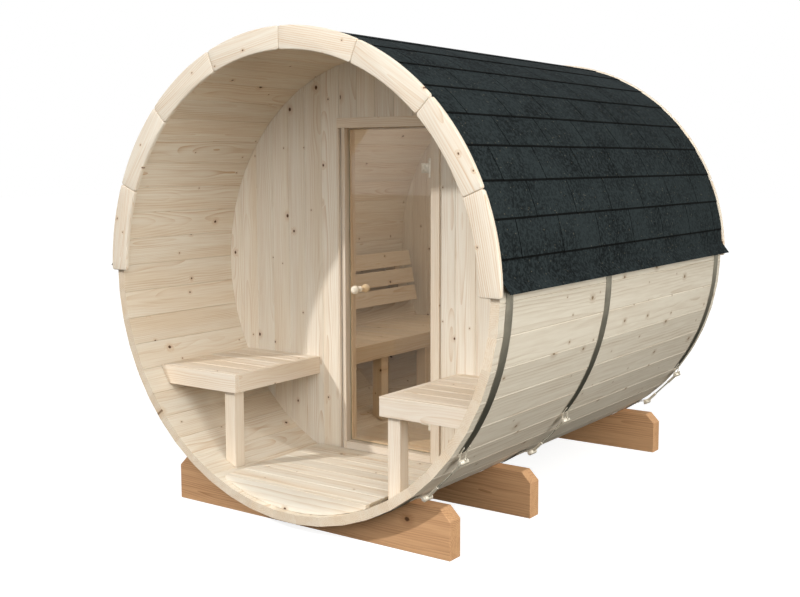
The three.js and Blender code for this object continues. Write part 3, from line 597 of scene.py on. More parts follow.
@functools.cache
def shingle_tree():
    """Lays one shingle tab in courses round the barrel, every other course half a tab along."""
    t, give = new_tree("Shingle Courses", {
        "Courses": 1, "Tabs": 1, "Tab Length": 0.3, "Turn": 0.1, "First Turn": 0.0, "First Course": 0,
        "Front": 0.0, "Back": 1.0, "Offset": 0.0, "Axis Height": 0.0, "Play": 0.0, "Seed": 1,
        "Material": None, "Edge Material": None,
    })
    total = add(t, "Math", "MULTIPLY", give["Courses"], give["Tabs"])
    points = add(t, "MeshLine", "OFFSET", Count=total, Offset=(0, 0, 0))
    index = add(t, "InputIndex")
    course = add(t, "Math", "FLOOR", add(t, "Math", "DIVIDE", index, give["Tabs"]))
    odd = add(t, "Math", "MODULO", add(t, "Math", "ADD", course, give["First Course"]), 2.0)
    along = add(t, "Math", "MODULO", index, give["Tabs"])
    along = add(t, "Math", "ADD", along, add(t, "Math", "MULTIPLY", odd, 0.5))
    along = add(t, "Math", "MULTIPLY_ADD", along, give["Tab Length"], give["Offset"])
    at = add(t, "CombineXYZ", 0.0, add(t, "Math", "ADD", along, give["Front"]), give["Axis Height"])
    points = add(t, "SetPosition", points, Position=at)

    # Tabs that would keep less than a sliver's length at either end are left out.
    begin = add(t, "SeparateXYZ", add(t, "InputPosition")).outputs[1]
    past = add(t, "Math", "GREATER_THAN", begin, add(t, "Math", "SUBTRACT", give["Back"], SLIVER))
    end = add(t, "Math", "ADD", begin, give["Tab Length"])
    short = add(t, "Math", "LESS_THAN", end, add(t, "Math", "ADD", give["Front"], SLIVER))
    angle = add(t, "Math", "MULTIPLY_ADD", course, give["Turn"], give["First Turn"])
    angle = add(t, "Math", "MULTIPLY", angle, -1.0)
    points = add(t, "StoreNamedAttribute", "FLOAT", points, Name="angle", Value=angle, domain="POINT")
    gone = add(t, "Math", "MAXIMUM", past, short)
    points = add(t, "DeleteGeometry", points, Selection=gone, domain="POINT")
    angle = add(t, "InputNamedAttribute", "FLOAT", Name="angle")
    turn = add(t, "CombineXYZ", Y=angle)
    tabs = add(t, "InstanceOnPoints", points, Instance=give["Geometry"], Rotation=turn)
    play = add(t, "RandomValue", "FLOAT", -1.0, 0.0, Seed=give["Seed"])
    swing = add(t, "CombineXYZ", Y=add(t, "Math", "MULTIPLY", play, give["Play"]))
    tabs = add(t, "RotateInstances", tabs, Rotation=swing)
    felt = add(t, "RealizeInstances", toned(t, tabs, give["Seed"]))

    # What reaches past either end is cut there.
    x, y, z = add(t, "SeparateXYZ", add(t, "InputPosition")).outputs
    kept = add(t, "CombineXYZ", x, add(t, "Clamp", y, give["Front"], give["Back"]), z)
    felt = add(t, "SetPosition", felt, Position=kept)
    felt = add(t, "RealizeInstances", add(t, "MergeByDistance", felt, Distance=WELD))
    felt = add(t, "SetMaterial", felt, Material=give["Material"])
    # Faces marked cut get the edge material: cut edges, and the painted shadow strip along a tab's lower
    # edge.
    cut = add(t, "InputNamedAttribute", "INT", Name="cut")
    add(t, "NodeGroupOutput", add(t, "SetMaterial", felt, Selection=cut, Material=give["Edge Material"]))
    return t


@functools.cache
def strap_tree():
    """A band of steel round the barrel, its middle standing a little proud of its edges."""
    t, give = new_tree("Round Strap", {
        "Radius": 1.0, "Start": 0.0, "Sweep": 1.0, "Steps": 100, "Middle": 0.0, "Width": 0.05,
        "Crown": 0.0, "Thickness": 0.001, "Axis Height": 0.0, "Material": None,
    })
    # The sheet runs from -0.5 to 0.5 along the strap and from -1 to 1 over its width.
    sheet = add(t, "MeshGrid", Size_X=1.0, Size_Y=2.0, Vertices_X=give["Steps"], Vertices_Y=9)
    run, wide, _ = add(t, "SeparateXYZ", add(t, "InputPosition")).outputs
    run = add(t, "Math", "ADD", run, 0.5)
    angle = add(t, "Math", "MULTIPLY_ADD", run, give["Sweep"], give["Start"])
    fall = add(t, "Math", "MULTIPLY", add(t, "Math", "POWER", wide, 2.0), give["Crown"])
    radius = add(t, "Math", "ADD", give["Radius"], give["Crown"])
    radius = add(t, "Math", "SUBTRACT", radius, fall)
    half = add(t, "Math", "MULTIPLY", give["Width"], -0.5)
    along = add(t, "Math", "MULTIPLY_ADD", wide, half, give["Middle"])
    across = add(t, "Math", "MULTIPLY", radius, add(t, "Math", "COSINE", angle))
    height = add(t, "Math", "MULTIPLY_ADD", radius, add(t, "Math", "SINE", angle), give["Axis Height"])
    sheet = add(t, "SetPosition", sheet, Position=add(t, "CombineXYZ", across, along, height))
    raised = add(t, "ExtrudeMesh", "FACES", sheet, Offset_Scale=give["Thickness"], Individual=False)
    solid = add(t, "JoinGeometry")
    for part in (raised, add(t, "FlipFaces", sheet)):
        t.links.new(part.outputs[0], solid.inputs[0])
    solid = add(t, "SetShadeSmooth", add(t, "MergeByDistance", solid, Distance=WELD))
    solid = add(t, "RealizeInstances", solid)
    add(t, "NodeGroupOutput", add(t, "SetMaterial", solid, Material=give["Material"]))
    return t


# ---------------------------------------------------------------- settings


def colour_prop(name, description, text):
    return bpy.props.FloatVectorProperty(
        name=name, description=description, subtype="COLOR", size=4, min=0, max=1, default=srgb(text)
    )


def length_prop(name, description, value):
    return bpy.props.FloatProperty(
        name=name, description=description, default=value, min=0.0, unit="LENGTH"
    )


class SaunaColours(bpy.types.PropertyGroup):
    stave: colour_prop("Stave wood", "Pale earlywood of the staves and wall boards", "#E8E0D1")
    stave_ring: colour_prop("Stave rings", "Latewood of the staves and wall boards", "#C8A985")
    stave_blush: colour_prop("Stave heartwood", "Heartwood blush of the staves", "#E1D0B8")
    board: colour_prop("Wall boards", "Pale earlywood of the upright boards", "#EAE4D8")
    board_ring: colour_prop("Wall board rings", "Latewood of the upright boards", "#C8AC8E")
    board_blush: colour_prop("Wall board heartwood", "Heartwood blush of the upright boards", "#DFD1BC")
    joinery: colour_prop("Joinery", "Earlywood of the door frame and the porch benches", "#E7DDCF")
    # Made paler than the joinery as painted light for the stronger sun on the porch floor.
    floor: colour_prop("Floor wood", "Earlywood of the porch floor", "#EFE9DC")
    floor_blush: colour_prop("Floor heartwood", "Heartwood blush of the porch floor", "#E9DAC4")
    outside: colour_prop("Outside wood", "Weathered earlywood on the barrel's outside", "#D8D1C3")
    outside_ring: colour_prop("Outside rings", "Weathered latewood on the barrel's outside", "#A8927A")
    outside_knot: colour_prop("Outside knots", "Bleached knots on the barrel's outside", "#7E6A52")
    trim: colour_prop("Trim wood", "Pale earlywood of the arched trims", "#E8E0D2")
    trim_ring: colour_prop("Trim rings", "Latewood of the arched trims", "#CCA880")
    cabin: colour_prop("Cabin wood", "Earlywood of the benches in the cabin", "#DED0BA")
    cradle: colour_prop("Cradle wood", "Impregnated pine of the cradles", "#D0A47B")
    cradle_ring: colour_prop("Cradle rings", "Latewood of the cradles", "#94663F")
    knot: colour_prop("Knots", "Knots in all the wood", "#573923")
    felt: colour_prop("Shingle", "Darkest slate of the shingles", "#080A0B")
    felt_light: colour_prop("Shingle, light", "Lightest slate of the shingles", "#2B3234")
    strap: colour_prop("Strap", "Steel straps round the barrel", "#ABA697")
    # Painted shade and reflection on the straps where they face the ground.
    strap_painted_shade_below: colour_prop("Strap, below", "Straps where they face the ground", "#4E4E45")
    zinc: colour_prop("Zinc", "Plated tensioners and hinges", "#EFE8DA")
    glass: colour_prop("Glass", "Body tint of the door glass", "#F6EEE3")


class SaunaSizes(bpy.types.PropertyGroup):
    stave_chamfer: length_prop("Stave chamfer", "V joint between staves, outside", 3 * MM)
    wall_board: length_prop("Wall board", "Width of an upright board", 103.3 * MM)
    floor_board: length_prop("Floor board", "Width of a floor board", 91.6 * MM)
    slat: length_prop("Bench slat", "Width of a bench slat", 100 * MM)
    bench_board: length_prop("Bench timber", "Thickness of the bench timber", 26 * MM)
    fascia: length_prop("Fascia", "Height of the bench's edge boards", 82 * MM)
    leg: length_prop("Leg", "Side of a square bench leg", 60 * MM)
    tab: length_prop("Shingle tab", "Length of a shingle tab", 333 * MM)
    course: bpy.props.FloatProperty(
        name="Course", description="Turn from one shingle course to the next", subtype="ANGLE",
        default=math.radians(8.25),
    )
    trim_width: length_prop("Trim width", "Width of the arched trims", 94 * MM)
    trim_count: bpy.props.IntProperty(
        name="Trim boards", description="Boards round one arch", default=8, min=2
    )


# ---------------------------------------------------------------- pieces


FINISHES = {}


def finish(word):
    """One of the finishes, which are all made at the first call."""
    if FINISHES:
        return FINISHES[word]
    c = bpy.context.scene.sauna_colours
    wood = (c.stave_ring, c.stave_blush, c.knot)
    birch = srgb("#F8F0E0")
    bitumen = srgb("#0C0E0E")
    FINISHES.update(
        stave=softwood("Planed spruce, staves", c.stave, *wood, stain=(1, -0.5, -1.0, 0.25)),
        board=softwood(
            "Planed spruce, wall boards", c.board, c.board_ring, c.board_blush, c.knot, contrast=0.7,
        ),
        # Painted shade: the outside darkens on the faces that turn down.
        outside=softwood(
            "Planed spruce, weathered, painted shade below", c.outside, c.outside_ring, c.outside, c.outside_knot, ring=15 * MM,
            contrast=0.6, cell=(0.11, 0.3, 1), fibres=55, stain=(2, -0.1, -0.9, 0.08),
        ),
        joinery=softwood(
            "Planed spruce, joinery", c.joinery, *wood, ring=7 * MM, contrast=0.7, knots=0.4,
            largest=7 * MM,
        ),
        turned=softwood("Turned birch", birch, srgb("#E6D2B0"), birch, c.knot, contrast=0.3, knots=0),
        trim=softwood(
            "Planed spruce, trims", c.trim, c.trim_ring, c.trim, c.knot, knots=0.75, largest=6 * MM,
            cell=(0.09, 0.2, 1), uneven=0.015,
        ),
        # The porch floor's paler colour is painted light for the sun on it.
        floor=softwood(
            "Planed spruce, floor", c.floor, c.stave_ring, c.floor_blush, c.knot, ring=24 * MM,
            contrast=0.6, fibres=45,
        ),
        cabin=softwood("Planed spruce, cabin", c.cabin, *wood),
        cradle=softwood(
            "Impregnated pine", c.cradle, c.cradle_ring, c.cradle, c.knot, ring=9 * MM, knots=0.15,
        ),
        felt=shingle_felt("Slate shingle felt", c.felt, c.felt_light, srgb("#8E8673")),
        # The edge finish also paints the shadow strip along each tab's lower edge.
        cut=shingle_felt("Bitumen edge and painted shadow", srgb("#050606"), bitumen, bitumen),
        # The strap's colour given as under is painted shade and reflection on its downward faces.
        strap=plated_steel(
            "Rolled steel strap", c.strap, srgb("#8B877B"), c.strap_painted_shade_below, 0.45, 0.4, 60 * MM,
        ),
        # The zinc's third colour is painted shade and reflection on its downward faces.
        zinc=plated_steel(
            "Bright zinc plate", c.zinc, srgb("#D2CCBC"), srgb("#B9B2A2"), 0.2, 0.42, 12 * MM,
        ),
        glass=bronze_glass("Bronze float glass", c.glass),
        ground=ground_glass("Ground glass edge", srgb("#A7A892"), srgb("#8F9480")),
    )
    return FINISHES[word]


class SAUNA_OT_staves(bpy.types.Operator):
    """Barrel wall: one stave with V joints, repeated round the axis"""

    bl_idname = "sauna.staves"
    bl_label = "Staves"

    def execute(self, context):
        wood = finish("stave")
        chamfer = context.scene.sauna_sizes.stave_chamfer
        outer, inner = (flat * math.tan(PITCH / 2) - HALF_JOINT for flat in (OUTER_FLAT, INNER_FLAT))
        small = chamfer / 2
        half = [(OUTER_FLAT, outer - chamfer), (OUTER_FLAT - chamfer, outer),
                (INNER_FLAT + small, inner), (INNER_FLAT, inner - small)]
        mirrored = [(x, -z) for x, z in half]
        outline = mirrored[:1] + half + mirrored[:0:-1]
        pith = Vector((OUTER_FLAT - STAVE_THICK / 2, (FRONT_Y + REAR_Y) / 2 + KNOT_SHIFT, 0))
        stave = Maker().take(prism(outline, FRONT_Y, REAR_Y, "Y"), along=Y, face=X, pith=pith)
        piece = stave.done("staves", wood, repeated=True)
        grow(piece, row_tree(), Count=STAVES, Start=(0, 0, AXIS_Z), First_Turn=FIRST_SEAM + PITCH / 2,
             Turn=PITCH, Seed=11, Play=-0.4 * MM, Material=wood)

        def weathered(face):
            spot = face.center - Z * AXIS_Z
            across = face.normal.x * spot.x + face.normal.z * spot.z
            return across > 0 and math.hypot(spot.x, spot.z) > OUTER_FLAT - chamfer

        second(piece, finish("outside"), weathered)
        settle(piece, WALLS)
        return {"FINISHED"}


def upright_boards(name, wood, x, z, y, joint, width, seed):
    """A wall of upright boards, their long edges chamfered, cut to the barrel and to its own limits."""
    first = joint - math.ceil((joint - x[0]) / width) * width
    count = math.ceil((x[1] - first) / width)
    edge = 2 * MM
    lo, hi = HALF_JOINT, width - HALF_JOINT
    across = spread(lo + edge, hi - edge, 6)
    outline = [(a, y[0]) for a in across] + [(hi, y[0] + edge), (hi, y[1] - edge)]
    outline += [(a, y[1]) for a in reversed(across)] + [(lo, y[1] - edge), (lo, y[0] + edge)]
    part = prism(outline, *z, "Z")
    # Rows of points 50 mm apart, and some where the joints meet the barrel, let it follow the curve.
    rows = set(spread(BELOW, ABOVE, 40))
    for n in range(count + 1):
        reach = disc(ROOM_CORNER, first + n * width)
        rows |= {AXIS_Z - reach, AXIS_Z + reach}
    for row in sorted(rows):
        if z[0] < row < z[1]:
            shape = [*part.verts, *part.edges, *part.faces]
            bmesh.ops.bisect_plane(part, geom=shape, plane_co=Z * row, plane_no=Z)
    piece = Maker().take(part, along=Z, face=-Y).done(name, wood, repeated=True)
    return grow(piece, row_tree(), Count=count, Start=(first, 0, 0), Step=(width, 0, 0), Seed=seed,
                Fit=ROOM, Axis_Height=AXIS_Z, Upright=True, Lowest_X=x[0], Highest_X=x[1],
                Along=Z, Face=-Y, Material=wood)


class SAUNA_OT_walls(bpy.types.Operator):
    """Partition and rear wall of upright boards"""

    bl_idname = "sauna.walls"
    bl_label = "Boarded walls"

    def execute(self, context):
        wood = finish("board")
        width = context.scene.sauna_sizes.wall_board
        side = INNER_FLAT / math.cos(PITCH / 2)
        lo, hi = limits("partition_over_door", 0)
        head, foot = low("partition_over_door").z, high("partition_under_door").z
        for node, x, z, y, joint, seed in (
            ("partition_left", (-side, lo), (BELOW, ABOVE), PARTITION, LEFT_JOINT, 21),
            ("partition_right", (hi, side), (BELOW, ABOVE), PARTITION, RIGHT_JOINT, 22),
            ("partition_over_door", (lo, hi), (head, ABOVE), PARTITION, LEFT_JOINT, 23),
            ("partition_under_door", (lo, hi), (BELOW, foot), PARTITION, LEFT_JOINT, 24),
            ("rear_wall", (-side, side), (BELOW, ABOVE), REAR_WALL, LEFT_JOINT, 31),
        ):
            piece = upright_boards(f"boards_{node}", wood, x, z, y, joint, width, seed)
            settle(piece, [node])
        return {"FINISHED"}


def cross_boards(name, wood, x, first, last, top, thick, width, seed, edge=2.5 * MM):
    """Boards laid across the barrel from the first to the last y, their ends scribed to its wall."""
    lo, hi = 0.2 * MM, width - 0.2 * MM
    outline = [(lo, top - thick), (hi, top - thick), (hi, top - edge), (hi - edge, top),
               (lo + edge, top), (lo, top - edge)]
    board = Maker().take(prism(outline, *x, "X"), along=X, face=Z)
    piece = board.done(name, wood, repeated=True)
    # The sum's rounding is taken off before it is rounded up.
    count = math.ceil((last - first) / width - 1e-4)
    grow(piece, row_tree(), Count=count, Start=(0, first, 0), Step=(0, width, 0), Seed=seed,
         Fit=ROOM, Axis_Height=AXIS_Z, Along=X, Face=Z, Material=wood)
    for v in piece.data.vertices:
        v.co.y = min(v.co.y, last)
    shape = bmesh.new()
    shape.from_mesh(piece.data)
    bmesh.ops.remove_doubles(shape, verts=shape.verts, dist=WELD)
    shape.to_mesh(piece.data)
    shape.free()
    return piece


class SAUNA_OT_floors(bpy.types.Operator):
    """Porch floor with its front board, and the cabin floor"""

    bl_idname = "sauna.floors"
    bl_label = "Floors"

    def execute(self, context):
        spruce, cabin = finish("floor"), finish("cabin")
        width = context.scene.sauna_sizes.floor_board
        for node, wood, slot, seed in (
            ("porch_floor", spruce, "stave_wood", 41), ("cabin_floor", cabin, "cabin_wood", 42),
        ):
            lo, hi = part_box(node)
            piece = cross_boards(
                f"{node}_boards", wood, (lo.x, hi.x), lo.y, hi.y, FLOOR_TOP, FLOOR_THICK, width, seed,
            )
            settle(piece, [node])
        lo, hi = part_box("porch_floor_front")
        outline = [(x, AXIS_Z - disc(ROOM, x)) for x in spread(hi.x, lo.x, 12)]
        outline += [(lo.x, hi.z), (hi.x, hi.z)]
        board = prism(outline, lo.y, hi.y, "Y", 1.5 * MM)
        piece = Maker(43).take(board, along=X, face=-Y).done("porch_floor_front_board", spruce)
        settle(piece, ["porch_floor_front"])
        return {"FINISHED"}


def bench(name, wood, side, node, legs, front, seed, sizes):
    """A bench: slats laid across, an edge board along the aisle, a front board, rails and legs."""
    lo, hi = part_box(node)
    thick = sizes.bench_board
    start = lo.y + thick if front else lo.y
    behind_edge = BENCH_EDGE + thick + PLAY
    under, rest = BENCH_TOP - sizes.fascia, BENCH_TOP - thick - PLAY
    slats = cross_boards(
        f"{name}_slats", wood, sorted((side * behind_edge, side * OUTER)), start, hi.y, BENCH_TOP, thick,
        sizes.slat, seed, 6 * MM,
    )
    made = Maker(seed + 100)
    edge = sorted((side * BENCH_EDGE, side * (BENCH_EDGE + thick)))
    made.take(slab(edge, (start, hi.y), (under, BENCH_TOP), 2 * MM), along=Y, face=-side * X)
    rail = (behind_edge, under + thick / 2, rest)
    boards = [(lo.y + PLAY, *rail, 1 * MM), (hi.y - thick, *rail, 1 * MM)]
    if front:
        boards[0] = (lo.y, BENCH_EDGE, under, BENCH_TOP, 2 * MM)
    for y, near, foot, top, soft in boards:
        walls = [(disc(ROOM, z - AXIS_Z), z) for z in (foot, top)]
        outline = [(side * x, z) for x, z in [(near, foot), *walls, (near, top)]]
        made.take(prism(outline, y, y + thick, "Y", soft), along=X, face=-Y)
    near, far = BENCH_EDGE + LEG_INSET, BENCH_EDGE + LEG_INSET + sizes.leg
    feet = [(x, AXIS_Z - disc(ROOM, x)) for x in (near, far)]
    outline = [(side * x, z) for x, z in [*feet, (far, rest), (near, rest)]]
    for y in legs:
        made.take(prism(outline, y, y + sizes.leg, "Y", 3 * MM), along=Z, face=-Y)
    return merged(name, [made.done(f"{name}_frame", wood), slats])


class SAUNA_OT_benches(bpy.types.Operator):
    """Porch benches, cabin benches and backrests"""

    bl_idname = "sauna.benches"
    bl_label = "Benches"

    def execute(self, context):
        spruce, cabin = finish("joinery"), finish("cabin")
        sizes = context.scene.sauna_sizes
        for side, word in ((-1, "left"), (1, "right")):
            node = f"porch_bench_{word}"
            legs = [low(node).y + PORCH_LEG_IN]
            piece = bench(f"porch_seat_{word}", spruce, side, node, legs, True, 51 + side, sizes)
            settle(piece, [node])
            node = f"cabin_bench_{word}"
            legs = [low(node).y + CABIN_LEG_IN, high(node).y - CABIN_LEG_IN - sizes.leg]
            piece = bench(f"cabin_seat_{word}", cabin, side, node, legs, False, 61 + side, sizes)
            settle(piece, [node])
            self.backrest(cabin, side, word, sizes.bench_board)
        return {"FINISHED"}

    def backrest(self, wood, side, word, thick):
        """Three long boards on two battens, leaning back along the wall."""
        node = f"backrest_{word}"
        lo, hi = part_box(node)
        tilt = math.radians(12)
        board, gap, count = 88 * MM, 17 * MM, 3
        foot = Vector((side * min(abs(lo.x), abs(hi.x)), 0, BENCH_TOP + 106 * MM))
        up = Vector((side * math.sin(tilt), 0, math.cos(tilt)))
        back = Vector((side * math.cos(tilt), 0, -math.sin(tilt)))
        made = Maker(71 + side)
        for n in range(count):
            start = n * (board + gap)
            corners = [(start, 0), (start + board, 0), (start + board, thick), (start, thick)]
            outline = [foot + up * rise + back * depth for rise, depth in corners]
            plank = prism([(p.x, p.z) for p in outline], lo.y, hi.y, "Y", 3 * MM)
            made.take(plank, along=Y, face=-back)
        # The battens' wall side is set for a place further down, which keeps it off the staves.
        down = 20 * MM
        rises = (gap, count * (board + gap) - 2 * gap)
        near = [foot + up * rise + back * (thick + PLAY) for rise in rises]
        far = [(side * disc(ROOM, p.z - AXIS_Z - down), p.z - down) for p in reversed(near)]
        for y in (lo.y + 90 * MM, hi.y - 135 * MM):
            batten = prism([(p.x, p.z) for p in near] + far, y, y + 45 * MM, "Y", 1 * MM)
            made.take(batten, along=Z, face=-back)
        settle(made.done(f"backrest_boards_{word}", wood), [node])


def trim_outline(inner, outer, step, gap, corner):
    """One arched board from the axis's right-hand side, its corners rounded."""
    quarter = [(1 - math.sin(a), 1 - math.cos(a)) for a in spread(0, math.pi / 2, 4)]
    outline = []
    for radius, way, start, end in ((outer, 1, 0, step), (inner, -1, step, 0)):
        start, end, soft = start + way * gap / radius, end - way * gap / radius, way * corner / radius
        outline += [(radius - way * corner * rise, start + soft * run) for rise, run in quarter]
        outline += [(radius, a) for a in spread(start + soft, end - soft, 10)[1:-1]]
        outline += [(radius - way * corner * rise, end - soft * run) for rise, run in reversed(quarter)]
    return [(r * math.cos(a), r * math.sin(a)) for r, a in outline]


class SAUNA_OT_trims(bpy.types.Operator):
    """Arched trims on both ends, butted from short boards with rounded corners"""

    bl_idname = "sauna.trims"
    bl_label = "End trims"

    def execute(self, context):
        wood = finish("trim")
        sizes = context.scene.sauna_sizes
        step, outer = math.pi / sizes.trim_count, high("trim_front_right").x
        outline = trim_outline(outer - sizes.trim_width, outer, step, 0.5 * MM, 11 * MM)
        tangent = Vector((-math.sin(step / 2), 0, math.cos(step / 2)))
        for end, seed in (("front", 81), ("rear", 82)):
            board = prism(outline, *limits(f"trim_{end}_left", 1), "Y")
            rims = [e for e in board.edges if abs(e.verts[0].co.y - e.verts[1].co.y) < WELD]
            bmesh.ops.bevel(board, geom=rims, offset=5 * MM, segments=3, profile=0.5, affect="EDGES")
            made = Maker().take(board, smooth=True, along=tangent, face=-Y)
            piece = made.done(f"trim_{end}", wood, repeated=True)
            grow(piece, row_tree(), Count=sizes.trim_count, Start=(0, 0, AXIS_Z), Turn=step, Seed=seed,
                 Material=wood)
            settle(piece, [f"trim_{end}_left", f"trim_{end}_right"], crease=40)
        return {"FINISHED"}


def tab(name, felt, edge, side, radius, rise, turns, length, thick=FELT):
    """One shingle tab: a curved plate whose lower edge rises over the course below it.

    Its cut edges show bitumen, and a narrow strip of its face along the lower edge is painted bitumen black
    as the shadow of the step.
    """
    gap, shadow_strip = 2.2 * MM, 7.5 * MM / radius
    made = bmesh.new()
    cut = made.faces.layers.int.new("cut")
    rows = []
    for angle in [turns[0], turns[0] + shadow_strip] + spread(*turns, 6)[1:]:
        inner = radius + rise * (turns[1] - angle) / (turns[1] - turns[0])
        places = [(polar(r, angle), y) for r in (inner, inner + thick) for y in (gap, length - gap)]
        rows.append([made.verts.new((side * p.x, y, p.z)) for p, y in places])
    for n, (a, b) in enumerate(zip(rows, rows[1:])):
        # The first row of the face is the painted shadow strip, given the edge material.
        made.faces.new((a[2], a[3], b[3], b[2]))[cut] = int(n == 0)
        for quad in ((a[0], b[0], b[1], a[1]), (a[0], a[2], b[2], b[0]), (a[1], b[1], b[3], a[3])):
            made.faces.new(quad)[cut] = 1
    for a in (rows[0], rows[-1]):
        made.faces.new((a[0], a[1], a[3], a[2]))[cut] = 1
    bmesh.ops.recalc_face_normals(made, faces=made.faces)
    data = bpy.data.meshes.new(name)
    made.to_mesh(data)
    made.free()
    data.materials.append(felt)
    data.materials.append(edge)
    return placed(name, data)


class SAUNA_OT_roof(bpy.types.Operator):
    """Shingles in overlapping courses on both sides, a drip course below and caps along the ridge"""

    bl_idname = "sauna.roof"
    bl_label = "Shingles"

    base, cap_base = OUTER + 4.2 * MM, OUTER + 8.1 * MM  # the tabs' undersides
    eave = math.radians(3.2)  # below this, the starter strip leaves the barrel's curve
    start = -175 * MM  # of the first tab, from the barrel's front

    def execute(self, context):
        felt, edge = finish("felt"), finish("cut")
        sizes = context.scene.sauna_sizes
        turn, length = sizes.course, sizes.tab
        first, lap, rise = math.radians(7.5), math.radians(1.2), 3.4 * MM
        top = math.pi / 2 - 0.001  # both sides' uppermost tabs stop just short of each other
        fields = round((math.pi / 2 - first) / turn) - 1
        last = first + turn * fields
        ends = {"Front": FRONT_Y, "Back": REAR_Y, "Axis_Height": AXIS_Z, "Material": felt,
                "Tabs": math.ceil((REAR_Y - FRONT_Y) / length) + 2, "Edge_Material": edge}
        for side, word in ((-1, "left"), (1, "right")):
            common = {"Tab_Length": length, "Offset": self.start, **ends}
            field = tab(f"tabs_{word}", felt, edge, side, self.base, rise, (0, turn + lap), length)
            grow(field, shingle_tree(), Courses=fields, Turn=side * turn, First_Turn=side * first,
                 Play=side * math.radians(0.07), Seed=7 + side, **common)
            turns = (0, top - last)
            upper = tab(f"upper_{word}", felt, edge, side, self.base, rise, turns, length)
            grow(upper, shingle_tree(), Courses=1, First_Turn=side * last, First_Course=fields,
                 Seed=9 + side, **common)
            drip = self.drip(f"drip_{word}", felt, edge, side, first + lap)
            settle(merged(f"shingles_{word}", [field, upper, drip]), [f"roof_{word}"])
        span, length = math.radians(3.6), length * 0.75
        cap = tab("ridge_caps", felt, edge, 1, self.cap_base, 0.0, (-span, span), length, 2.6 * MM)
        grow(cap, shingle_tree(), Courses=1, Tab_Length=length, First_Turn=math.pi / 2, Seed=17, **ends)
        settle(cap)
        return {"FINISHED"}

    def drip(self, name, felt, edge, side, top):
        """The starter strip, which leaves the barrel's curve in a straight eave, and a sheet above it."""
        raised, bend = 5.1 * MM, self.eave + 0.012
        tip = Vector((high("roof_right").x, 0, low("roof_right").z + raised - AXIS_Z))
        outer = [polar(self.base + FELT, a) for a in spread(top, bend, 5)]
        inner = [polar(self.base, a) for a in spread(bend, top, 5)]
        way = (tip - outer[-1]).normalized()
        square = Vector((way.z, 0, -way.x)) * 3.2 * MM
        rounded = [tip - way * 2 * MM + square * n for n in spread(0, 1, 3)]
        strip = outer + [outer[-1] + way * 6 * MM, tip] + rounded[1:] + inner
        sheet = [polar(self.base - 0.5 * MM, a) for a in spread(self.eave, math.pi / 2, 40)]
        sheet += [polar(self.base - 1.1 * MM, a) for a in spread(math.pi / 2, self.eave, 40)]
        made = Maker(18)
        for places in (strip, sheet):
            before = len(made.faces)
            outline = [(side * p.x, AXIS_Z + p.z) for p in places]
            made.take(prism(outline, FRONT_Y, REAR_Y, "Y"), along=Y, face=X)
        piece = made.done(name, felt)
        # The strip's cut ends and the whole sheet show bitumen.
        second(piece, edge, lambda face: abs(face.normal.y) > 0.5 or face.index >= before)
        return piece


def ribbon(path, thick, y):
    """A strap along a path of (x, z) places, as wide as y is long."""
    left, right = [], []
    for n, here in enumerate(path):
        before, after = path[max(n - 1, 0)], path[min(n + 1, len(path) - 1)]
        way = (after - before).normalized()
        square = Vector((-way.y, way.x)) * thick / 2
        left.append(here + square)
        right.append(here - square)
    return prism([tuple(p) for p in left + right[::-1]], *y, "Y")


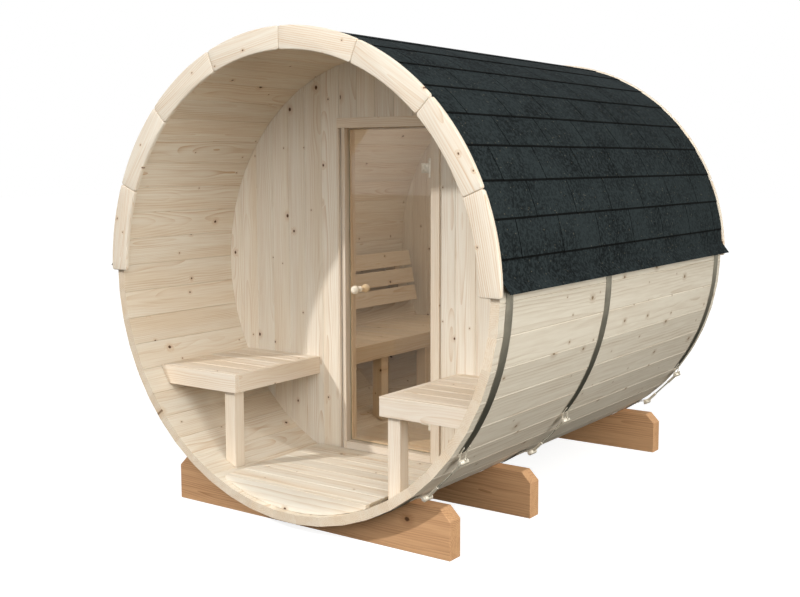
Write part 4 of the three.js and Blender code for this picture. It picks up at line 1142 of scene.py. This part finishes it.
class SAUNA_OT_bands(bpy.types.Operator):
    """Steel straps with looped ends, and the screws that pull them tight"""

    bl_idname = "sauna.bands"
    bl_label = "Straps"

    thick, half_width, crown = 1.4 * MM, 25 * MM, 1.6 * MM
    run, pull = OUTER + PLAY, OUTER + 27 * MM  # radii: the strap's inside and the screws

    def execute(self, context):
        steel, zinc = finish("strap"), finish("zinc")
        upper, lower, back = (math.radians(a) for a in (-38, -51, 1.5))
        sweep = lower - upper - 2 * back + math.tau
        for where in ("front", "middle", "rear"):
            y = middle(f"tensioner_{where}", 1)
            piece = Maker().done(f"strap_{where}", steel)
            grow(piece, strap_tree(), Radius=self.run, Start=upper + back, Sweep=sweep, Steps=151,
                 Middle=y, Width=2 * self.half_width, Crown=self.crown, Thickness=self.thick,
                 Axis_Height=AXIS_Z, Material=steel)
            settle(piece, [f"band_{where}"], crease=35)
            self.tensioner(steel, zinc, where, y, upper, lower)
        return {"FINISHED"}

    def flat(self, radius, turn):
        return Vector((radius * math.cos(turn), AXIS_Z + radius * math.sin(turn)))

    def lug(self, made, y, turn, way):
        """Two ears riveted to the strap's edges and turned round the trunnion's ends."""
        seat = self.run + self.crown + 2 * self.thick
        screw = self.flat(self.pull, turn)
        outward = Vector((math.cos(turn), math.sin(turn)))
        onward = Vector((-math.sin(turn), math.cos(turn))) * way
        thick = 2.2 * MM
        eye = 9.3 * MM + thick / 2
        bends = [math.radians(a) for a in spread(205, -30, 22)]
        loop = [screw + (outward * math.cos(b) + onward * math.sin(b)) * eye for b in bends]
        path = [self.flat(seat, turn - way * d * MM / OUTER) for d in (58, 49, 40, 31)] + loop
        spot = self.flat(seat + thick / 2, turn - way * 52 * MM / OUTER)
        rivet = [(0, 1.6 * MM), (2.2 * MM, 1.2 * MM), (3.2 * MM, 0), (3.2 * MM, -1 * MM), (0, -1 * MM)]
        for inner, outer in ((-17 * MM, -self.half_width), (17 * MM, self.half_width)):
            made.take(ribbon(path, thick, sorted((y + inner, y + outer))), smooth=True)
            at = (spot.x, y + (inner + outer) / 2, spot.y)
            made.take(lathe(rivet, at, polar(1, turn), 14), smooth=True)

    def tensioner(self, steel, zinc, where, y, upper, lower):
        """Threaded rod through two trunnions, a long hexagon nut inside each and a short one outside."""
        a, b = (polar(self.pull, turn) + Vector((0, y, AXIS_Z)) for turn in (upper, lower))
        way = (b - a).normalized()
        made = Maker(3)
        # The M8 thread is drawn with twice its pitch.
        reach, radius, pitch = (b - a).length / 2 + 22 * MM, 4 * MM, 2.5 * MM
        thread = [(0, -reach), (radius - 1.2 * MM, -reach)]
        for n in range(int(2 * reach / pitch)):
            thread += [(radius - 0.8 * MM, (n + 0.3) * pitch - reach), (radius, (n + 0.8) * pitch - reach)]
        thread += [(radius - 1.2 * MM, reach), (0, reach)]
        made.take(lathe(thread, (a + b) / 2, way, 12))
        rod_faces = len(made.faces)
        half, neck, body, belly = 27 * MM, 16.5 * MM, 9 * MM, 11.5 * MM
        pin = [(0, -half), (body - 2 * MM, -half), (body, 2 * MM - half), (body, -neck)]
        pin += [(belly, 3 * MM - neck)]
        pin += [(r, -d) for r, d in reversed(pin)]
        for place, sense in ((a, way), (b, -way)):
            for start, length, size in ((10 * MM, 60 * MM, 6.8 * MM), (-19 * MM, 8 * MM, 7.2 * MM)):
                made.take(lathe(turned_bar(size, start, start + length, 1.2 * MM), place, sense, 6))
            made.take(lathe(pin, place, Y, 28), smooth=True)
        self.lug(made, y, upper, -1)
        self.lug(made, y, lower, 1)
        piece = made.done(f"tensioner_screw_{where}", zinc)
        second(piece, steel, lambda face: face.index < rod_faces)
        settle(piece, [f"tensioner_{where}"], crease=30)


class SAUNA_OT_cradles(bpy.types.Operator):
    """Three cradles, their seats cut to the barrel"""

    bl_idname = "sauna.cradles"
    bl_label = "Cradles"

    def execute(self, context):
        pine = finish("cradle")
        chamfer, seat = 45 * MM, OUTER + PLAY
        for seed, where in enumerate(("front", "middle", "rear"), 91):
            node = f"cradle_{where}"
            lo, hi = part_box(node)
            first = math.atan2(hi.z - AXIS_Z, disc(seat, hi.z - AXIS_Z))
            arc = [polar(seat, a) for a in spread(first, -math.pi - first, 40)]
            outline = [(hi.x, lo.z), (hi.x, hi.z - chamfer), (hi.x - chamfer, hi.z)]
            outline += [(p.x, AXIS_Z + p.z) for p in arc]
            outline += [(lo.x + chamfer, hi.z), (lo.x, hi.z - chamfer), (lo.x, lo.z)]
            beam = prism(outline, lo.y, hi.y, "Y", 2.5 * MM)
            piece = Maker(seed).take(beam, along=X, face=-Y).done(f"cradle_beam_{where}", pine)
            settle(piece, [node])
        return {"FINISHED"}


class SAUNA_OT_door(bpy.types.Operator):
    """Door frame, glass, knobs and hinges"""

    bl_idname = "sauna.door"
    bl_label = "Door"

    def execute(self, context):
        self.door_frame(finish("joinery"))
        self.glass(finish("glass"), finish("ground"))
        self.knobs(finish("turned"))
        for which in ("upper", "lower"):
            self.hinge(finish("zinc"), which)
        return {"FINISHED"}

    def door_frame(self, wood):
        """Jambs, head and threshold: casing in front, glazing stop behind the glass.

        The jamb that the door closes on has a groove down its face, where casing and jamb strip meet.
        """
        front, back = limits("door_jamb_left", 1)
        jamb, stop, stop_y = 32 * MM, 10 * MM, front + 41 * MM
        face, edge = PARTITION[0] - PLAY, 1.6 * MM
        near, far, deep = 16 * MM, 34 * MM, front + 14 * MM  # the groove's two sides and its bottom
        foot, top = FLOOR_TOP + PLAY, DOORWAY_TOP
        for side, word, inner in ((-1, "left", DOORWAY[0]), (1, "right", DOORWAY[1])):
            section = [(0, front), (CASING, front), (CASING, face), (jamb, face), (jamb, back),
                       (-stop, back), (-stop, stop_y), (0, stop_y)]
            if word == "left":
                section[1:1] = [(near, front), (near, deep), (far, deep), (far, front)]
            outline = [(inner + side * out, y) for out, y in section]
            post = prism(outline, foot, top - PLAY, "Z", edge)
            piece = Maker(101 + side).take(post, along=Z, face=-Y).done(f"jamb_{word}", wood)
            settle(piece, [f"door_jamb_{word}"])
        x0, x1 = DOORWAY
        within = (x0 + stop + PLAY, x1 - stop - PLAY)
        made = Maker(104)
        section = [(front, top), (front, top + CASING), (face, top + CASING), (face, top)]
        made.take(prism(section, x0 - CASING, x1 + CASING, "X", edge), along=X, face=-Y)
        board = slab((x0 - jamb, x1 + jamb), (face + PLAY, back), (top, top + jamb), edge)
        made.take(board, along=X, face=-Z)
        made.take(slab(within, (stop_y, back), (top - stop, top - PLAY), edge), along=X, face=-Y)
        settle(made.done("head", wood), ["door_head"])
        made = Maker(108)
        rise = high("door_threshold").z - stop
        made.take(slab((x0 + PLAY, x1 - PLAY), (front, stop_y - PLAY), (foot, rise), edge), along=X)
        made.take(slab(within, (stop_y, back), (foot, rise + stop), edge), along=X)
        settle(made.done("threshold", wood), ["door_threshold"])

    def glass(self, pane, rim):
        """A sheet with ground edges and rounded corners, notched where the clamps grip it."""
        (x0, y0, z0), (x1, y1, z1) = GLASS_LOW, GLASS_HIGH
        corner, notch, tall = 6 * MM, HINGE.x - 25.6 * MM, 9.4 * MM
        outline = []
        for x, z, start in (
            (x0 + corner, z0 + corner, 180), (x1 - corner, z0 + corner, 270),
            (x1 - corner, z1 - corner, 0), (x0 + corner, z1 - corner, 90),
        ):
            turns = [math.radians(a) for a in spread(start, start + 90, 6)]
            outline += [(x + corner * math.cos(a), z + corner * math.sin(a)) for a in turns]
            for which in ("lower", "upper") if start == 270 else ():
                z = middle(f"hinge_clamp_{which}", 2)
                outline += [(x1, z - tall), (notch, z - tall), (notch, z + tall), (x1, z + tall)]
        sheet = prism(outline, y0, y1, "Y", 0.7 * MM, 1)
        piece = Maker().take(sheet).done("glass_pane", pane)
        second(piece, rim, lambda face: abs(face.normal.y) < 0.9)
        settle(piece, ["door_glass"], "door")

    def knobs(self, wood):
        """Two turned balls on one spindle through the glass."""
        centre = Vector([middle("door_knob", axis) for axis in range(3)])
        ball, neck, foot, reach = 20 * MM, 8 * MM, 14 * MM, 38 * MM
        round_part = [polar(ball, a) for a in spread(math.pi / 2, -math.acos(neck / ball), 16)[1:]]
        profile = [(0, reach + ball)] + [(p.x, reach + p.z) for p in round_part]
        profile += [(neck, 12 * MM), (neck + 1.2 * MM, 9 * MM), (neck + 4 * MM, 6.5 * MM),
                    (foot, 4.5 * MM), (foot, 1 * MM), (foot - 0.8 * MM, PLAY), (0, PLAY)]
        sheet = (GLASS_HIGH.y - GLASS_LOW.y) / 2
        # Turned from the side of a trunk: the pith lies beside the balls.
        pith = centre + X * 40 * MM
        made = Maker(112)
        for sense in (-1, 1):
            ball_and_foot = lathe([(r, sense * (sheet + d)) for r, d in profile], centre, Y, 40)
            made.take(ball_and_foot, smooth=True, along=Y, face=-Z, pith=pith)
        settle(made.done("knob_pair", wood), ["door_knob"], "door", crease=50)

    def hinge(self, zinc, which):
        """A clamp on the glass turning on a pin between the knuckles of a leaf fixed to the jamb."""
        lo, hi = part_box(f"hinge_clamp_{which}")
        half = (hi.z - lo.z) / 2
        x, y, z = axis = HINGE.x, HINGE.y, middle(f"hinge_clamp_{which}", 2)
        front, back = GLASS_LOW.y, GLASS_HIGH.y
        plate_face = front - 6.3 * MM
        knuckle, soft = 7.5 * MM, 0.6 * MM
        made = Maker(115)
        # Both plates, the block in the glass's notch, and the web to the knuckle.
        for xs, ys, tall, edge in (
            ((lo.x, x - 5 * MM), (plate_face, front - PLAY), half, 0.9 * MM),
            ((lo.x, x - 9 * MM), (back + PLAY, hi.y), half, 0.9 * MM),
            ((x - 25 * MM, x - 9 * MM), (front - 3 * MM, back + 2 * MM), 9 * MM, 0),
            ((x - 8 * MM, x - 1 * MM), (y - 2 * MM, y + 4 * MM), half - MM, 0),
        ):
            made.take(slab(xs, ys, (z - tall, z + tall), edge))
        made.take(lathe(turned_bar(knuckle, -half, half, soft), axis, Z, 24), smooth=True)
        # Button heads with round sockets.
        head = [(0, 0.3 * MM), (1.4 * MM, 0.3 * MM), (1.6 * MM, 1.6 * MM), (2.6 * MM, 1.5 * MM),
                (3.8 * MM, 0.8 * MM), (4.1 * MM, 0), (4.1 * MM, -0.5 * MM), (0, -0.5 * MM)]
        for up in (-13 * MM, 13 * MM):
            made.take(lathe(head, (lo.x + 20 * MM, plate_face, z + up), -Y, 18), smooth=True)
        settle(made.done(f"clamp_{which}", zinc), [f"hinge_clamp_{which}"], "door", crease=35)

        lo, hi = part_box(f"hinge_leaf_{which}")
        near, far, plate = half + 0.5 * MM, (hi.z - lo.z) / 2, 2.2 * MM
        made = Maker(116)
        made.take(slab((hi.x - plate, hi.x), (lo.y, hi.y), (lo.z, hi.z), 0.7 * MM))
        for end in (-1, 1):
            roll = [(r, end * d) for r, d in turned_bar(knuckle, near, far, soft, 0.8 * MM)]
            made.take(lathe(roll, axis, Z, 24), smooth=True)
            zs = sorted((z + end * near, z + end * far))
            made.take(slab((x, hi.x - plate / 2), (y - knuckle / 2, y + knuckle / 2), zs, 0))
        settle(made.done(f"leaf_{which}", zinc), [f"hinge_leaf_{which}"], crease=35)


# ---------------------------------------------------------------- stage

CAMERA_PLACE = Vector((2.9637, -4.5302, 1.5218))
CAMERA_YAW, CAMERA_PITCH, CAMERA_ROLL = (math.radians(a) for a in (35.497, -6.458, -0.166))
SUN_WAY = Vector((0.43, 0.71, -0.56))
# Name, place, what it is turned to, size, power and colour.
SOFT_LAMPS = (
    ("Fill, front right", (5.5, -5.5, 5.4), (0, 0, 0.9), 6, 300, (1.0, 0.99, 0.97)),
    ("Fill, right", (8.7, -1.5, 2.5), (0, 0, 0.9), 6, 570, (1.0, 0.98, 0.91)),
    ("Fill, front", (1.5, -8.7, 2.8), (0, 0, 0.9), 6, 175, (1.0, 0.99, 0.97)),
    ("Cabin", (0, 0.4, 1.85), (0, 0.4, 0), 0.9, 5.2, (1.0, 0.99, 0.97)),
)


class SAUNA_OT_stage(bpy.types.Operator):
    """Camera, pale floor, sun and soft surround"""

    bl_idname = "sauna.stage"
    bl_label = "Stage"

    def execute(self, context):
        scene = context.scene
        lens = bpy.data.cameras.new("Camera")
        lens.sensor_width = 36
        lens.lens = 50.32
        lens.shift_x, lens.shift_y = 0.0084, -0.0112
        lens.clip_end = 200
        turn = Matrix.Rotation(CAMERA_YAW, 4, "Z") @ Matrix.Rotation(math.pi / 2 + CAMERA_PITCH, 4, "X")
        scene.camera = placed("Camera", lens)
        scene.camera.matrix_world = (
            Matrix.Translation(CAMERA_PLACE) @ turn @ Matrix.Rotation(CAMERA_ROLL, 4, "Z")
        )

        lamp = bpy.data.lights.new("Sun", "SUN")
        lamp.energy, lamp.angle, lamp.color = 1.75, math.radians(2), (1.0, 0.985, 0.955)
        placed("Sun", lamp).rotation_euler = SUN_WAY.to_track_quat("-Z", "Y").to_euler()
        for name, place, target, size, power, colour in SOFT_LAMPS:
            lamp = bpy.data.lights.new(name, "AREA")
            lamp.shape, lamp.size, lamp.energy, lamp.color = "DISK", size, power, colour
            soft = placed(name, lamp)
            soft.location = place
            soft.rotation_euler = (Vector(target) - Vector(place)).to_track_quat("-Z", "Y").to_euler()

        scene.world = bpy.data.worlds.new("Surround")
        scene.world.use_nodes = True
        t = scene.world.node_tree
        t.nodes.clear()
        glossy = add(t, "LightPath").outputs["Is Glossy Ray"]
        seen = add(t, "Math", "MAXIMUM", self.seen(t), glossy)
        strength = add(t, "MapRange", seen, To_Min=0.285, To_Max=1.0)
        colour = add(t, "Mix", "RGBA", seen, (1, 0.975, 0.93, 1), (1, 1, 1, 1))
        add(t, "OutputWorld", add(t, "Background", colour, strength))

        ground = bmesh.new()
        bmesh.ops.create_grid(ground, x_segments=1, y_segments=1, size=40)
        data = bpy.data.meshes.new("Floor")
        ground.to_mesh(data)
        ground.free()
        # The floor looks pale, but sends up little light, as a garden would.
        material, t = blank("Studio floor")
        lit = add(t, "BsdfDiffuse", (0.06, 0.05, 0.038, 1))
        faint = add(t, "BsdfDiffuse", (0.4, 0.4, 0.4, 1))
        bright = add(t, "AddShader", faint, add(t, "Emission", (1, 1, 1, 1), 0.84))
        add(t, "OutputMaterial", add(t, "MixShader", self.seen(t), lit, bright))
        data.materials.append(material)
        placed("Floor", data)
        scene.view_settings.view_transform = "Standard"
        return {"FINISHED"}

    def seen(self, tree):
        """One for the rays that come from the camera, straight or through glass."""
        path = add(tree, "LightPath").outputs
        return add(tree, "Math", "MAXIMUM", path["Is Camera Ray"], path["Is Transmission Ray"])


# ---------------------------------------------------------------- panel and registration


class SAUNA_PT_panel(bpy.types.Panel):
    """Sizes, colours and pieces of the sauna"""

    bl_label = "Barrel sauna"
    bl_idname = "SAUNA_PT_panel"
    bl_space_type = "VIEW_3D"
    bl_region_type = "UI"
    bl_category = "Sauna"

    def draw(self, context):
        for group in (context.scene.sauna_sizes, context.scene.sauna_colours):
            box = self.layout.box()
            for name in group.__annotations__:
                box.prop(group, name)
        for operator in OPERATORS:
            self.layout.operator(operator.bl_idname)


OPERATORS = (
    SAUNA_OT_stage, SAUNA_OT_staves, SAUNA_OT_walls, SAUNA_OT_floors, SAUNA_OT_benches,
    SAUNA_OT_trims, SAUNA_OT_roof, SAUNA_OT_bands, SAUNA_OT_cradles, SAUNA_OT_door,
)
CLASSES = (SaunaColours, SaunaSizes, *OPERATORS, SAUNA_PT_panel)


def register():
    for item in CLASSES:
        bpy.utils.register_class(item)
    bpy.types.Scene.sauna_colours = bpy.props.PointerProperty(type=SaunaColours)
    bpy.types.Scene.sauna_sizes = bpy.props.PointerProperty(type=SaunaSizes)


def unregister():
    del bpy.types.Scene.sauna_sizes
    del bpy.types.Scene.sauna_colours
    for item in reversed(CLASSES):
        bpy.utils.unregister_class(item)


def main():
    register()
    for operator in OPERATORS:
        group, name = operator.bl_idname.split(".")
        getattr(getattr(bpy.ops, group), name)()


if __name__ == "__main__":
    main()
